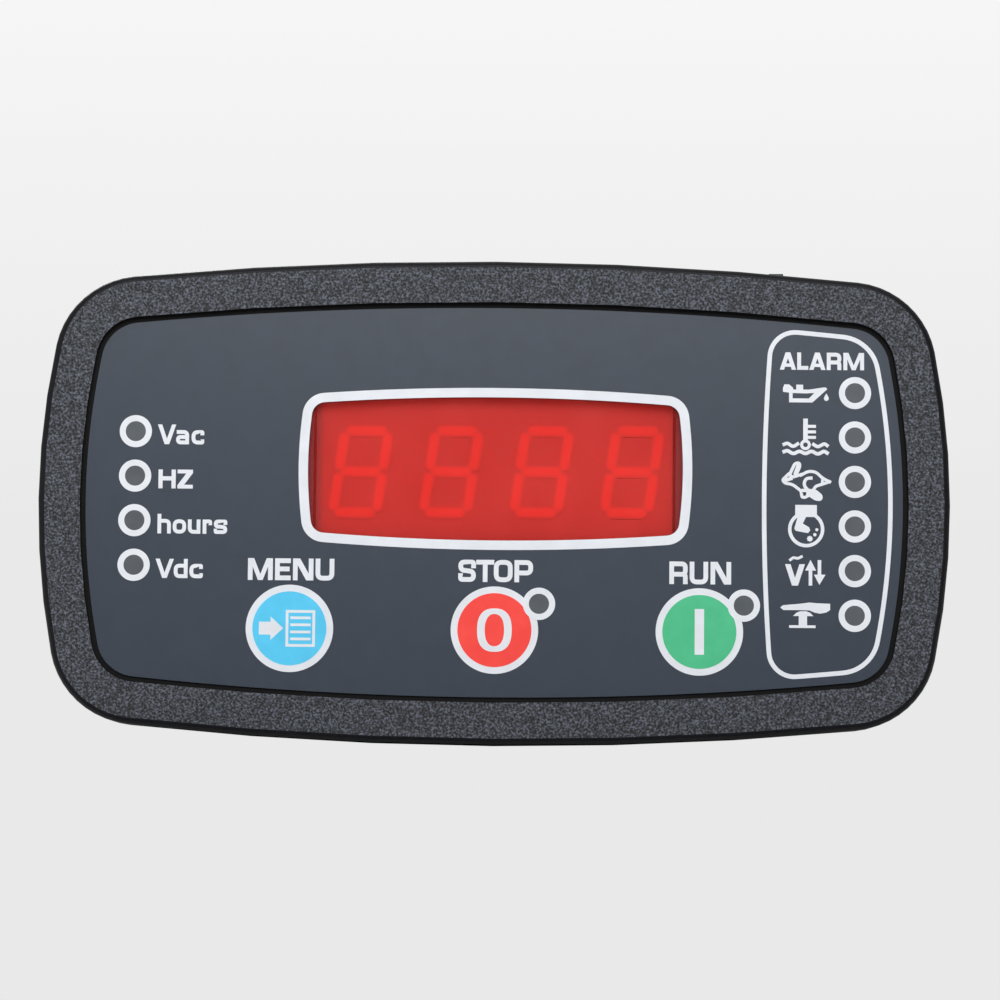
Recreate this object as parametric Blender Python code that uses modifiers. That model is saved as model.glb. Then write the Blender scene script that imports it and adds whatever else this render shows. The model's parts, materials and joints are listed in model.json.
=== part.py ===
"""Panel-mounted genset controller, in metres.

X runs to the right, Y to the back and Z up. The origin is the centre of the bezel flange's
rear face, in the plane of the panel that the controller is fixed in.
"""

import math

import bmesh
import bpy
from mathutils import Matrix

# Gaps between pieces
CLEARANCE = 0.0003
SEAT_GAP = 0.00005

# Bezel, whose face is a cushion outline with four large arcs for sides
BEZEL_WIDTH = 0.102
BEZEL_HEIGHT = 0.0543
BEZEL_SIDE_RADIUS = 0.0888
BEZEL_TOP_RADIUS = 0.410
BEZEL_CORNER_RADIUS = 0.00975
FLANGE_THICKNESS = 0.0055
FLANGE_EDGE_ROUND = 0.0007
FLANGE_FACE_BAND = 0.0005
RING_WIDTH = 0.0047
PLATE_THICKNESS = 0.002
GATE_MARK_X = 0.0316
GATE_MARK_LENGTH = 0.0016
GATE_MARK_HEIGHT = 0.0004
GATE_MARK_DEPTH = 0.0012
GATE_MARK_FRONT_Y = -0.00275

# Printed film in the bezel's recess
FILM_THICKNESS = 0.00025
FILM_RECESS = 0.0005
FILM_EDGE_GAP = 0.0006
INK_HEIGHT = 0.00004
INK_RING_STEP = 0.00001
INK_FIELD_STEP = 0.00002

# Display window in the film, and the clear pane behind it
WINDOW_SIDE_BAND = 0.001
WINDOW_TOP_LAP = 0.00025
WINDOW_SIDE_RADIUS = 0.0484
WINDOW_TOP_RADIUS = 0.258
WINDOW_CORNER_RADIUS = 0.0015
WINDOW_BORDER = 0.0011
WINDOW_Z = 0.0038
PANE_THICKNESS = 0.001
PANE_LAP = 0.0008

# Seven-segment display
DIGIT_COUNT = 4
DIGIT_PITCH = 0.01016
DIGIT_WIDTH = 0.006
DIGIT_HEIGHT = 0.0103
DIGIT_SLANT = math.radians(8)
DIGIT_SHIFT_X = 0.0003
DIGIT_SHIFT_Z = -0.0003
SEGMENT_WIDTH = 0.0011
SEGMENT_SPACING = 0.00025
DISPLAY_SIDE_MARGIN = 0.00176
DISPLAY_TOP_MARGIN = 0.00315
DISPLAY_DEPTH = 0.0072
DISPLAY_WALL = 0.001

# Indicator lights
LED_RADIUS = 0.0015
LED_FLANGE_RADIUS = 0.00175
LED_FLANGE_HEIGHT = 0.001
LED_LENGTH = 0.0053
LEAD_WIDTH = 0.0005
LEAD_SPACING = 0.0021
LED_WINDOW_RADIUS = 0.00113
LED_RING_RADIUS = 0.0018
LED_PITCH = 0.005
VALUE_LED_INSET = 0.00549
VALUE_LED_TOP_Z = 0.0076
ALARM_LED_INSET = 0.00537
ALARM_LED_TOP_Z = 0.0126
VALUE_LEDS = ("volts_ac", "hertz", "hours", "volts_dc")
ALARM_LEDS = ("oil", "heat", "speed", "start", "voltage", "stop_key")

# Frame printed round the alarm lights
ALARM_FRAME_INSET = 0.0011
ALARM_FRAME_LINE = 0.0006
ALARM_FRAME_REACH = 0.01045
ALARM_FRAME_LEFT_RADIUS = 0.1
ALARM_FRAME_CORNER = 0.0031

# Push buttons: printed fields, with a key switch behind each
BUTTONS = ("menu", "stop", "run")
BUTTON_TO_ALARM_LEDS = 0.01747
BUTTON_SHIFT_X = 0.00014
BUTTON_INSET = 0.0075
BUTTON_RING_RADIUS = 0.00489
BUTTON_FIELD_RADIUS = 0.00405
STATUS_LED_RIGHT = 0.00495
STATUS_LED_UP = 0.00298
SWITCH_SIZE = 0.006
SWITCH_HEIGHT = 0.0035
SWITCH_LID = 0.0006
PLUNGER_RADIUS = 0.00175
PLUNGER_CHAMFER = 0.0003
PLUNGER_FOOT_RADIUS = 0.00225
PLUNGER_FOOT = 0.0008
PLUNGER_TRAVEL = 0.00025
PLUNGER_FILM_GAP = 0.0001

# Rear housing, which plugs into the bezel's back
FLANGE_LIP_SIDE = 0.0055
FLANGE_LIP_TOP = 0.00505
HOUSING_CORNER_RADIUS = 0.003
HOUSING_EDGE_ROUND = 0.0008
HOUSING_WALL = 0.0018
HOUSING_DEPTH = 0.040
VENT_COUNT = 9
VENT_WIDTH = 0.0016
VENT_LENGTH = 0.014
VENT_PITCH = 0.0034
VENT_FRONT_Y = 0.012
GUIDE_WIDTH = 0.0012
TOOTH_COUNT = 10
TOOTH_PITCH = 0.0025
TOOTH_HEIGHT = 0.0008
TOOTH_FRONT_Y = 0.006
TOOTH_ROW_WIDTH = 0.008
TOOTH_ROW_INSET = 0.0145

# Snap arms behind the bezel, which hook into windows of the housing
SNAP_ARM_X = 0.023
SNAP_ARM_WIDTH = 0.007
SNAP_ARM_THICKNESS = 0.0013
SNAP_HOOK = 0.0013
SNAP_HOOK_Y = 0.0025
SNAP_ARM_END_Y = 0.0062

# Mounting spring round the housing, set for one thickness of panel
PANEL_THICKNESS = 0.002
SPRING_SHEET = 0.0008
SPRING_BAND_WIDTH = 0.008
SPRING_CORNER_RADIUS = 0.0035
SPRING_BARB_LENGTH = 0.003
SPRING_BARB_WIDTH = 0.006
SPRING_BARB_TOOTH = 8
SPRING_LEG_X = 0.019
SPRING_LEG_WIDTH = 0.008
SPRING_LEG_BOW = 0.0014
SPRING_LEG_RISE = 0.0032
SPRING_LEG_SHOULDER = 0.0011
SPRING_FOOT = 0.0017

# Circuit boards, bosses and screws
BOARD_THICKNESS = 0.0016
BOARD_CORNER_RADIUS = 0.0015
BOARD_ARM_GAP = 0.0004
MAIN_BOARD_TOP_Z = -0.009
BOSS_INSET_X = 0.0091
BOSS_INSET_Z = 0.003
BOSS_RADIUS = 0.0025
SCREW_SHANK_RADIUS = 0.0009
SCREW_LENGTH = 0.0064
SCREW_HEAD_RADIUS = 0.0021
SCREW_HEAD_TOP_RADIUS = 0.0015
SCREW_HEAD_HEIGHT = 0.0014
SCREW_HEAD_RIM = 0.0005

# Parts on the boards
PART_SPACING = 0.0012
PART_MARGIN = 0.0029
LINK_PINS = 12
LINK_PITCH = 0.00254
LINK_PIN_WIDTH = 0.00064
RELAY_WIDTH = 0.0155
RELAY_DEPTH = 0.0121
RELAY_HEIGHT = 0.0137
RELAY_EDGE_ROUND = 0.0004
SUPPLY_CAPACITOR_RADIUS = 0.004
SUPPLY_CAPACITOR_HEIGHT = 0.016
FILTER_CAPACITOR_RADIUS = 0.00315
FILTER_CAPACITOR_HEIGHT = 0.0115
CAPACITOR_LIP = 0.0004
CAPACITOR_GROOVE_Z = 0.0018
REGULATOR_WIDTH = 0.0102
REGULATOR_BODY_DEPTH = 0.0045
REGULATOR_BODY_HEIGHT = 0.009
REGULATOR_TAB_THICKNESS = 0.0013
REGULATOR_TAB_HEIGHT = 0.0154
REGULATOR_LEAD_HEIGHT = 0.0045
REGULATOR_HOLE_RADIUS = 0.0018
RESISTOR_RADIUS = 0.0019
RESISTOR_LENGTH = 0.0095
VARISTOR_RADIUS = 0.0048
VARISTOR_THICKNESS = 0.0036
MICROCONTROLLER_SIZE = 0.010
MICROCONTROLLER_HEIGHT = 0.0015
MICROCONTROLLER_CHAMFER = 0.00025
MICROCONTROLLER_X = -0.015
CRYSTAL_LENGTH = 0.011
CRYSTAL_WIDTH = 0.0045
CRYSTAL_HEIGHT = 0.0035
DISPLAY_PARTS_MARGIN = 0.001

# Terminal sockets on the main board, and the plugs that pull off them
DC_PITCH = 0.00508
AC_POLES = 2
AC_PITCH = 0.00762
SOCKET_DEPTH = 0.012
SOCKET_HEIGHT = 0.0085
SOCKET_WALL = 0.0008
SOCKET_FLOOR = 0.0025
SOCKET_END = 0.0011
PIN_WIDTH = 0.001
PIN_LENGTH = 0.0075
PLUG_BODY_DEPTH = 0.0092
PLUG_BELOW = 0.0055
PLUG_ABOVE = 0.0065
PLUG_SLOPE = 0.0016
PLUG_OPENING_GAP = 0.0004
WIRE_ENTRY_WIDTH = 0.0031
WIRE_ENTRY_HEIGHT = 0.0034
WIRE_ENTRY_DEPTH = 0.0058
WIRE_ENTRY_DROP = 0.0012
CLAMP_SCREW_RADIUS = 0.00165
CLAMP_SCREW_HEIGHT = 0.0022
CLAMP_SCREW_SLOT = 0.0006
CLAMP_SCREW_SUNK = 0.0006

# How finely curves are divided
CORNER_STEPS = 10
SIDE_STEPS = 6
SMALL_CORNER_STEPS = 3
LIGHT_STEPS = 12
RING_STEPS = 16
FIELD_STEPS = 26
ROUND_STEPS = 14
SMALL_ROUND_STEPS = 10

# Places that follow from the sizes above
RING_FACE_Y = -FLANGE_THICKNESS
FILM_FRONT_Y = RING_FACE_Y + FILM_RECESS
FILM_BACK_Y = FILM_FRONT_Y + FILM_THICKNESS
PLATE_FRONT_Y = FILM_BACK_Y + SEAT_GAP
PLATE_BACK_Y = PLATE_FRONT_Y + PLATE_THICKNESS
PANE_BACK_Y = PLATE_FRONT_Y + PANE_THICKNESS
DISPLAY_FACE_Y = PANE_BACK_Y + CLEARANCE
DISPLAY_BACK_Y = DISPLAY_FACE_Y + DISPLAY_DEPTH
DISPLAY_BOARD_FRONT_Y = DISPLAY_BACK_Y + SEAT_GAP
DISPLAY_BOARD_BACK_Y = DISPLAY_BOARD_FRONT_Y + BOARD_THICKNESS
PART_SEAT_Y = DISPLAY_BOARD_BACK_Y + SEAT_GAP
DISPLAY_WIDTH = (DIGIT_COUNT - 1) * DIGIT_PITCH + DIGIT_WIDTH + 2 * DISPLAY_SIDE_MARGIN
DISPLAY_HEIGHT = DIGIT_HEIGHT + 2 * DISPLAY_TOP_MARGIN
WINDOW_WIDTH = DISPLAY_WIDTH + 2 * WINDOW_SIDE_BAND
WINDOW_HEIGHT = DISPLAY_HEIGHT - 2 * WINDOW_TOP_LAP
FILM_INSET = RING_WIDTH + FILM_EDGE_GAP
VALUE_LED_X = -BEZEL_WIDTH / 2 + FILM_INSET + VALUE_LED_INSET
ALARM_LED_X = BEZEL_WIDTH / 2 - FILM_INSET - ALARM_LED_INSET
BUTTON_PITCH = ALARM_LED_X - BUTTON_TO_ALARM_LEDS
BUTTON_Z = -BEZEL_HEIGHT / 2 + FILM_INSET + BUTTON_INSET
HOUSING_WIDTH = BEZEL_WIDTH - 2 * FLANGE_LIP_SIDE
HOUSING_HEIGHT = BEZEL_HEIGHT - 2 * FLANGE_LIP_TOP
HOUSING_FRONT_Y = PLATE_BACK_Y + CLEARANCE
INNER_WIDTH = HOUSING_WIDTH - 2 * HOUSING_WALL
INNER_HEIGHT = HOUSING_HEIGHT - 2 * HOUSING_WALL
REAR_WALL_Y = HOUSING_DEPTH - HOUSING_WALL
TOOTH_ROW_X = HOUSING_WIDTH / 2 - TOOTH_ROW_INSET
SNAP_ARM_OUTER_Z = INNER_HEIGHT / 2 - CLEARANCE
SNAP_ARM_INNER_Z = SNAP_ARM_OUTER_Z - SNAP_ARM_THICKNESS
DISPLAY_BOARD_WIDTH = INNER_WIDTH - 4 * CLEARANCE
DISPLAY_BOARD_HEIGHT = 2 * (SNAP_ARM_INNER_Z - BOARD_ARM_GAP)
BOSS_X = DISPLAY_BOARD_WIDTH / 2 - BOSS_INSET_X
BOSS_Z = DISPLAY_BOARD_HEIGHT / 2 - BOSS_INSET_Z
DISPLAY_PARTS_Z = DISPLAY_BOARD_HEIGHT / 2 - DISPLAY_PARTS_MARGIN - MICROCONTROLLER_SIZE / 2
MAIN_BOARD_WIDTH = INNER_WIDTH - 2 * CLEARANCE
MAIN_BOARD_FRONT_Y = PART_SEAT_Y + SCREW_HEAD_HEIGHT + CLEARANCE
MAIN_BOARD_BACK_Y = REAR_WALL_Y - CLEARANCE
MAIN_BOARD_BOTTOM_Z = MAIN_BOARD_TOP_Z - BOARD_THICKNESS
PART_SEAT_Z = MAIN_BOARD_TOP_Z + SEAT_GAP
SOCKET_BACK_Y = REAR_WALL_Y - CLEARANCE
SOCKET_FRONT_Y = SOCKET_BACK_Y - SOCKET_DEPTH
SOCKET_MIDDLE_Z = PART_SEAT_Z + SOCKET_HEIGHT / 2
PLUG_SHOULDER_Y = SOCKET_BACK_Y + CLEARANCE
AC_WIDTH = AC_POLES * AC_PITCH
AC_X = MAIN_BOARD_WIDTH / 2 - PART_MARGIN - SOCKET_END - AC_WIDTH / 2
AC_SOCKET_LEFT_X = AC_X - AC_WIDTH / 2 - SOCKET_END
DC_SOCKET_LEFT_X = -MAIN_BOARD_WIDTH / 2 + PART_MARGIN
DC_SPACE = AC_SOCKET_LEFT_X - DC_SOCKET_LEFT_X - 2 * SOCKET_END - REGULATOR_BODY_DEPTH - 2 * PART_SPACING
DC_POLES = int(DC_SPACE / DC_PITCH)
DC_WIDTH = DC_POLES * DC_PITCH
DC_X = DC_SOCKET_LEFT_X + SOCKET_END + DC_WIDTH / 2
DC_SOCKET_RIGHT_X = DC_X + DC_WIDTH / 2 + SOCKET_END


# Scene helpers


def clear_scene():
    for obj in list(bpy.data.objects):
        bpy.data.objects.remove(obj, do_unlink=True)


def new_collection(name):
    collection = bpy.data.collections.new(name)
    bpy.context.scene.collection.children.link(collection)
    return collection


def linear(code):
    """The linear colour of an sRGB hex code."""
    channels = [int(code[i:i + 2], 16) / 255 for i in (1, 3, 5)]
    return [c / 12.92 if c <= 0.04045 else ((c + 0.055) / 1.055) ** 2.4 for c in channels] + [1]


def new_material(name, code, roughness, metallic=0.0, alpha=1.0):
    material = bpy.data.materials.new(name)
    material.use_nodes = True
    shader = material.node_tree.nodes["Principled BSDF"]
    shader.inputs["Base Color"].default_value = linear(code)
    shader.inputs["Roughness"].default_value = roughness
    shader.inputs["Metallic"].default_value = metallic
    shader.inputs["Alpha"].default_value = alpha
    material.diffuse_color = linear(code)
    return material


# Outlines, as lists of points in a plane


def circle(center, radius, steps):
    turns = [2 * math.pi * (i + 0.5) / steps for i in range(steps)]
    return [(center[0] + radius * math.cos(a), center[1] + radius * math.sin(a)) for a in turns]


def rectangle(center, width, height):
    x, y = width / 2, height / 2
    return [(center[0] + u, center[1] + v) for u, v in ((-x, -y), (x, -y), (x, y), (-x, y))]


def arc(center, radius, start, end, steps, with_end=False):
    """Points of an arc, with or without its last."""
    turns = [start + (end - start) * i / steps for i in range(steps + with_end)]
    return [(center[0] + radius * math.cos(a), center[1] + radius * math.sin(a)) for a in turns]


def rounded_rectangle(center, width, height, radius, steps=SMALL_CORNER_STEPS):
    x, y = width / 2 - radius, height / 2 - radius
    points = []
    for quarter, (u, v) in enumerate(((x, y), (-x, y), (-x, -y), (x, -y))):
        start = quarter * math.pi / 2
        middle = (center[0] + u, center[1] + v)
        points += arc(middle, radius, start, start + math.pi / 2, steps, with_end=True)
    return points


def meeting_point(center_a, reach_a, center_b, reach_b, near):
    """The point that lies at both reaches from the two centres, on the side of near."""
    across, up = center_b[0] - center_a[0], center_b[1] - center_a[1]
    distance = math.hypot(across, up)
    along = (reach_a ** 2 - reach_b ** 2 + distance ** 2) / (2 * distance)
    aside = math.sqrt(max(reach_a ** 2 - along ** 2, 0))
    across, up = across / distance, up / distance
    found = [
        (center_a[0] + across * along - up * aside * side, center_a[1] + up * along + across * aside * side)
        for side in (1, -1)
    ]
    return min(found, key=lambda p: math.dist(p, near))


def bowed_outline(sides, corner_radius, side_steps=SIDE_STEPS, corner_steps=CORNER_STEPS):
    """An outline of four outward arcs (right, top, left, bottom), each a centre, a radius and
    the direction it faces, with corners rounded by circles that touch both arcs inside."""
    middles = [(c[0] + r * d[0], c[1] + r * d[1]) for c, r, d in sides]
    corners = []
    for i in range(4):
        (center_a, radius_a, _), (center_b, radius_b, _) = sides[i], sides[(i + 1) % 4]
        upright, level = (i, (i + 1) % 4) if i % 2 == 0 else ((i + 1) % 4, i)
        near = (middles[upright][0], middles[level][1])
        corners.append(meeting_point(
            center_a, radius_a - corner_radius, center_b, radius_b - corner_radius, near))

    def heading(center, point):
        return math.atan2(point[1] - center[1], point[0] - center[0])

    points = []
    for i, (center, radius, _) in enumerate(sides):
        start = heading(center, corners[i - 1])
        end = heading(center, corners[i])
        end += 2 * math.pi if end < start else 0
        points += arc(center, radius, start, end, side_steps)
        turn = heading(sides[(i + 1) % 4][0], corners[i])
        turn += 2 * math.pi if turn < end else 0
        points += arc(corners[i], corner_radius, end, turn, corner_steps)
    return points


def cushion(width, height, side_radius, top_radius, corner_radius, inset=0.0, middle_z=0.0, **steps):
    """A cushion outline, or the line that runs inset inside it."""
    side, top = width / 2 - side_radius, height / 2 - top_radius
    sides = [
        ((side, middle_z), side_radius - inset, (1, 0)),
        ((0, middle_z + top), top_radius - inset, (0, 1)),
        ((-side, middle_z), side_radius - inset, (-1, 0)),
        ((0, middle_z - top), top_radius - inset, (0, -1)),
    ]
    return bowed_outline(sides, corner_radius - inset, **steps)


def bezel_outline(inset=0.0):
    return cushion(
        BEZEL_WIDTH, BEZEL_HEIGHT, BEZEL_SIDE_RADIUS, BEZEL_TOP_RADIUS, BEZEL_CORNER_RADIUS, inset)


def window_outline(inset=0.0):
    return cushion(
        WINDOW_WIDTH, WINDOW_HEIGHT, WINDOW_SIDE_RADIUS, WINDOW_TOP_RADIUS, WINDOW_CORNER_RADIUS,
        inset, WINDOW_Z, corner_steps=4)


def alarm_frame_outline(inset=0.0):
    """The alarm frame follows the film's edge on three sides and bows out on its left."""
    edge = FILM_INSET + ALARM_FRAME_INSET + inset
    left = ALARM_LED_X - ALARM_FRAME_REACH + ALARM_FRAME_LEFT_RADIUS
    side, top = BEZEL_WIDTH / 2 - BEZEL_SIDE_RADIUS, BEZEL_HEIGHT / 2 - BEZEL_TOP_RADIUS
    sides = [
        ((side, 0), BEZEL_SIDE_RADIUS - edge, (1, 0)),
        ((0, top), BEZEL_TOP_RADIUS - edge, (0, 1)),
        ((left, 0), ALARM_FRAME_LEFT_RADIUS - inset, (-1, 0)),
        ((0, -top), BEZEL_TOP_RADIUS - edge, (0, -1)),
    ]
    return bowed_outline(sides, ALARM_FRAME_CORNER - inset, 2, 4)


def strip_outline(line, thickness):
    """The outline of a bent strip of even thickness, mitred at its bends, from its middle line."""
    normals = []
    for (x0, y0), (x1, y1) in zip(line, line[1:]):
        length = math.hypot(x1 - x0, y1 - y0)
        normals.append(((y0 - y1) / length, (x1 - x0) / length))
    one_side, other_side = [], []
    for (x, y), before, after in zip(line, normals[:1] + normals, normals + normals[-1:]):
        u, v = before[0] + after[0], before[1] + after[1]
        mitre = thickness / (u * u + v * v)
        one_side.append((x + u * mitre, y + v * mitre))
        other_side.append((x - u * mitre, y - v * mitre))
    return one_side + other_side[::-1]


# Shapes, as meshes. A plane of (u, v) points stands across each axis:
# (x, y) across Z, (x, z) across Y and (y, z) across X.


ACROSS = {
    "Z": Matrix.Identity(4),
    "Y": Matrix(((1, 0, 0, 0), (0, 0, -1, 0), (0, 1, 0, 0), (0, 0, 0, 1))),
    "X": Matrix(((0, 0, 1, 0), (1, 0, 0, 0), (0, 1, 0, 0), (0, 0, 0, 1))),
}


def along(axis, distance):
    return Matrix.Translation([distance if axis == letter else 0 for letter in "XYZ"])


def prism(outlines, axis, low, high):
    """A flat outline, with holes where more outlines lie inside it, extruded from low to high."""
    curve = bpy.data.curves.new("outline", "CURVE")
    curve.dimensions = "2D"
    curve.fill_mode = "BOTH"
    curve.extrude = (high - low) / 2
    for outline in outlines:
        spline = curve.splines.new("POLY")
        spline.points.add(len(outline) - 1)
        for point, (u, v) in zip(spline.points, outline):
            point.co = (u, v, 0, 1)
        spline.use_cyclic_u = True
    guide = bpy.data.objects.new("outline", curve)
    bpy.context.scene.collection.objects.link(guide)
    graph = bpy.context.evaluated_depsgraph_get()
    mesh = bpy.data.meshes.new_from_object(guide.evaluated_get(graph))
    bpy.data.objects.remove(guide)
    bpy.data.curves.remove(curve)
    bm = bmesh.new()
    bm.from_mesh(mesh)
    bmesh.ops.remove_doubles(bm, verts=bm.verts, dist=1e-7)
    bmesh.ops.dissolve_limit(bm, angle_limit=0.0005, verts=bm.verts, edges=bm.edges)
    bmesh.ops.recalc_face_normals(bm, faces=bm.faces)
    matrix = along(axis, (low + high) / 2) @ ACROSS[axis]
    bmesh.ops.transform(bm, matrix=matrix, verts=bm.verts)
    bm.to_mesh(mesh)
    bm.free()
    return mesh


def box(low, high):
    bm = bmesh.new()
    bmesh.ops.create_cube(bm, size=1)
    middle = [(a + b) / 2 for a, b in zip(low, high)]
    size = [b - a for a, b in zip(low, high)]
    matrix = Matrix.Translation(middle) @ Matrix.Diagonal((*size, 1))
    bmesh.ops.transform(bm, matrix=matrix, verts=bm.verts)
    mesh = bpy.data.meshes.new("box")
    bm.to_mesh(mesh)
    bm.free()
    return mesh


def rod(axis, middle, radius, low, high, steps=ROUND_STEPS):
    """A cylinder along an axis, through the point middle of the plane across it."""
    bm = bmesh.new()
    bmesh.ops.create_cone(
        bm, cap_ends=True, segments=steps, radius1=radius, radius2=radius, depth=high - low)
    place = along(axis, (low + high) / 2) @ ACROSS[axis] @ Matrix.Translation((*middle, 0))
    bmesh.ops.transform(bm, matrix=place, verts=bm.verts)
    mesh = bpy.data.meshes.new("rod")
    bm.to_mesh(mesh)
    bm.free()
    return mesh


def merged(name, meshes, materials=()):
    """One mesh of several separate shapes. Each may have a material of its own."""
    bm = bmesh.new()
    for index, mesh in enumerate(meshes):
        start = len(bm.faces)
        bm.from_mesh(mesh)
        bm.faces.ensure_lookup_table()
        for face in bm.faces[start:]:
            face.material_index = index if len(materials) > 1 else 0
        bpy.data.meshes.remove(mesh)
    mesh = bpy.data.meshes.new(name)
    bm.to_mesh(mesh)
    bm.free()
    for material in materials:
        mesh.materials.append(material)
    return mesh


# Objects


def add_object(name, mesh, material=None, location=(0, 0, 0), parent=None):
    obj = bpy.data.objects.new(name, mesh)
    parts.objects.link(obj)
    obj.location = location
    obj.parent = parent
    if material and not mesh.materials:
        mesh.materials.append(material)
    return obj


def piece(name, meshes, material, location=(0, 0, 0), parent=None):
    return add_object(name, merged(name, meshes), material, location, parent)


def combine(obj, name, meshes, operation, materials=()):
    """Joins shapes to an object, or cuts them from it, in the object's own coordinates."""
    tool = bpy.data.objects.new(obj.name + "_" + name, merged(name, meshes, materials))
    cutters.objects.link(tool)
    tool.parent = obj
    tool.hide_render = True
    tool.display_type = "WIRE"
    modifier = obj.modifiers.new(name, "BOOLEAN")
    modifier.operation = operation
    modifier.solver = "EXACT"
    modifier.object = tool
    if materials:
        modifier.material_mode = "TRANSFER"


def cut(obj, name, meshes):
    combine(obj, name, meshes, "DIFFERENCE")


def join(obj, name, meshes, materials=()):
    combine(obj, name, meshes, "UNION", materials)


def round_edges(obj, width, segments, chosen):
    """Rounds the edges whose two ends both answer to chosen."""
    mesh = obj.data
    weights = mesh.attributes.new("bevel_weight_edge", "FLOAT", "EDGE")
    for edge in mesh.edges:
        if all(chosen(mesh.vertices[i].co) for i in edge.vertices):
            weights.data[edge.index].value = 1
    bevel = obj.modifiers.new("rounded edges", "BEVEL")
    bevel.limit_method = "WEIGHT"
    bevel.width = width
    bevel.segments = segments


def turned(name, profile, steps, material, location=(0, 0, 0), facing_front=False, parent=None):
    """A turned solid from the half-section (radius, height), listed from its top downwards."""
    mesh = bpy.data.meshes.new(name)
    points = [(radius, 0, height) for radius, height in profile]
    mesh.from_pydata(points, [(i, i + 1) for i in range(len(points) - 1)], [])
    obj = add_object(name, mesh, material, location, parent)
    if facing_front:
        obj.rotation_euler = (math.pi / 2, 0, 0)
    screw = obj.modifiers.new("turned", "SCREW")
    screw.steps = screw.render_steps = steps
    screw.use_merge_vertices = True
    screw.merge_threshold = 1e-6
    screw.use_smooth_shade = True
    return obj


def settle(obj):
    """Makes the object's modifiers part of its mesh, so that copies can share it."""
    bpy.context.view_layer.update()
    graph = bpy.context.evaluated_depsgraph_get()
    mesh = bpy.data.meshes.new_from_object(obj.evaluated_get(graph))
    old = obj.data
    tools = [m.object for m in obj.modifiers if m.type == "BOOLEAN"]
    obj.modifiers.clear()
    obj.data = mesh
    mesh.name = obj.name
    bpy.data.meshes.remove(old)
    for tool in tools:
        bpy.data.objects.remove(tool)
    shade(obj)
    return obj


def shade(obj):
    obj.data.shade_smooth()
    obj.data.set_sharp_from_angle(angle=math.radians(35))


def copy_of(obj, name, location, parent=None):
    other = bpy.data.objects.new(name, obj.data)
    parts.objects.link(other)
    other.location = location
    other.rotation_euler = obj.rotation_euler
    other.parent = parent
    return other


# Front


def led_places():
    """Name and (x, z) of every indicator light."""
    places = {}
    for i, name in enumerate(VALUE_LEDS):
        places["value_led_" + name] = (VALUE_LED_X, VALUE_LED_TOP_Z - i * LED_PITCH)
    for i, name in enumerate(ALARM_LEDS):
        places["alarm_led_" + name] = (ALARM_LED_X, ALARM_LED_TOP_Z - i * LED_PITCH)
    for name in BUTTONS[1:]:
        x, z = button_places()[name]
        places["status_led_" + name] = (x + STATUS_LED_RIGHT, z + STATUS_LED_UP)
    return places


def button_places():
    middle = (len(BUTTONS) - 1) / 2
    return {name: (BUTTON_SHIFT_X + (i - middle) * BUTTON_PITCH, BUTTON_Z)
            for i, name in enumerate(BUTTONS)}


def boss_places():
    return [(x, z) for x in (-BOSS_X, BOSS_X) for z in (-BOSS_Z, BOSS_Z)]


def pane_outline(gap=0.0):
    return rounded_rectangle(
        (0, WINDOW_Z), WINDOW_WIDTH + 2 * PANE_LAP + 2 * gap, WINDOW_HEIGHT + 2 * PANE_LAP + 2 * gap,
        WINDOW_CORNER_RADIUS + gap)


def snap_arm(side):
    """A snap arm on the top (side 1) or bottom (side -1), as a section with its hook."""
    root = (PLATE_FRONT_Y + PLATE_BACK_Y) / 2
    section = [
        (root, SNAP_ARM_INNER_Z),
        (SNAP_ARM_END_Y, SNAP_ARM_INNER_Z),
        (SNAP_ARM_END_Y, SNAP_ARM_OUTER_Z - SNAP_ARM_THICKNESS / 3),
        (SNAP_HOOK_Y, SNAP_ARM_OUTER_Z + SNAP_HOOK),
        (SNAP_HOOK_Y, SNAP_ARM_OUTER_Z),
        (root, SNAP_ARM_OUTER_Z),
    ]
    return [(y, side * z) for y, z in section]


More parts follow.
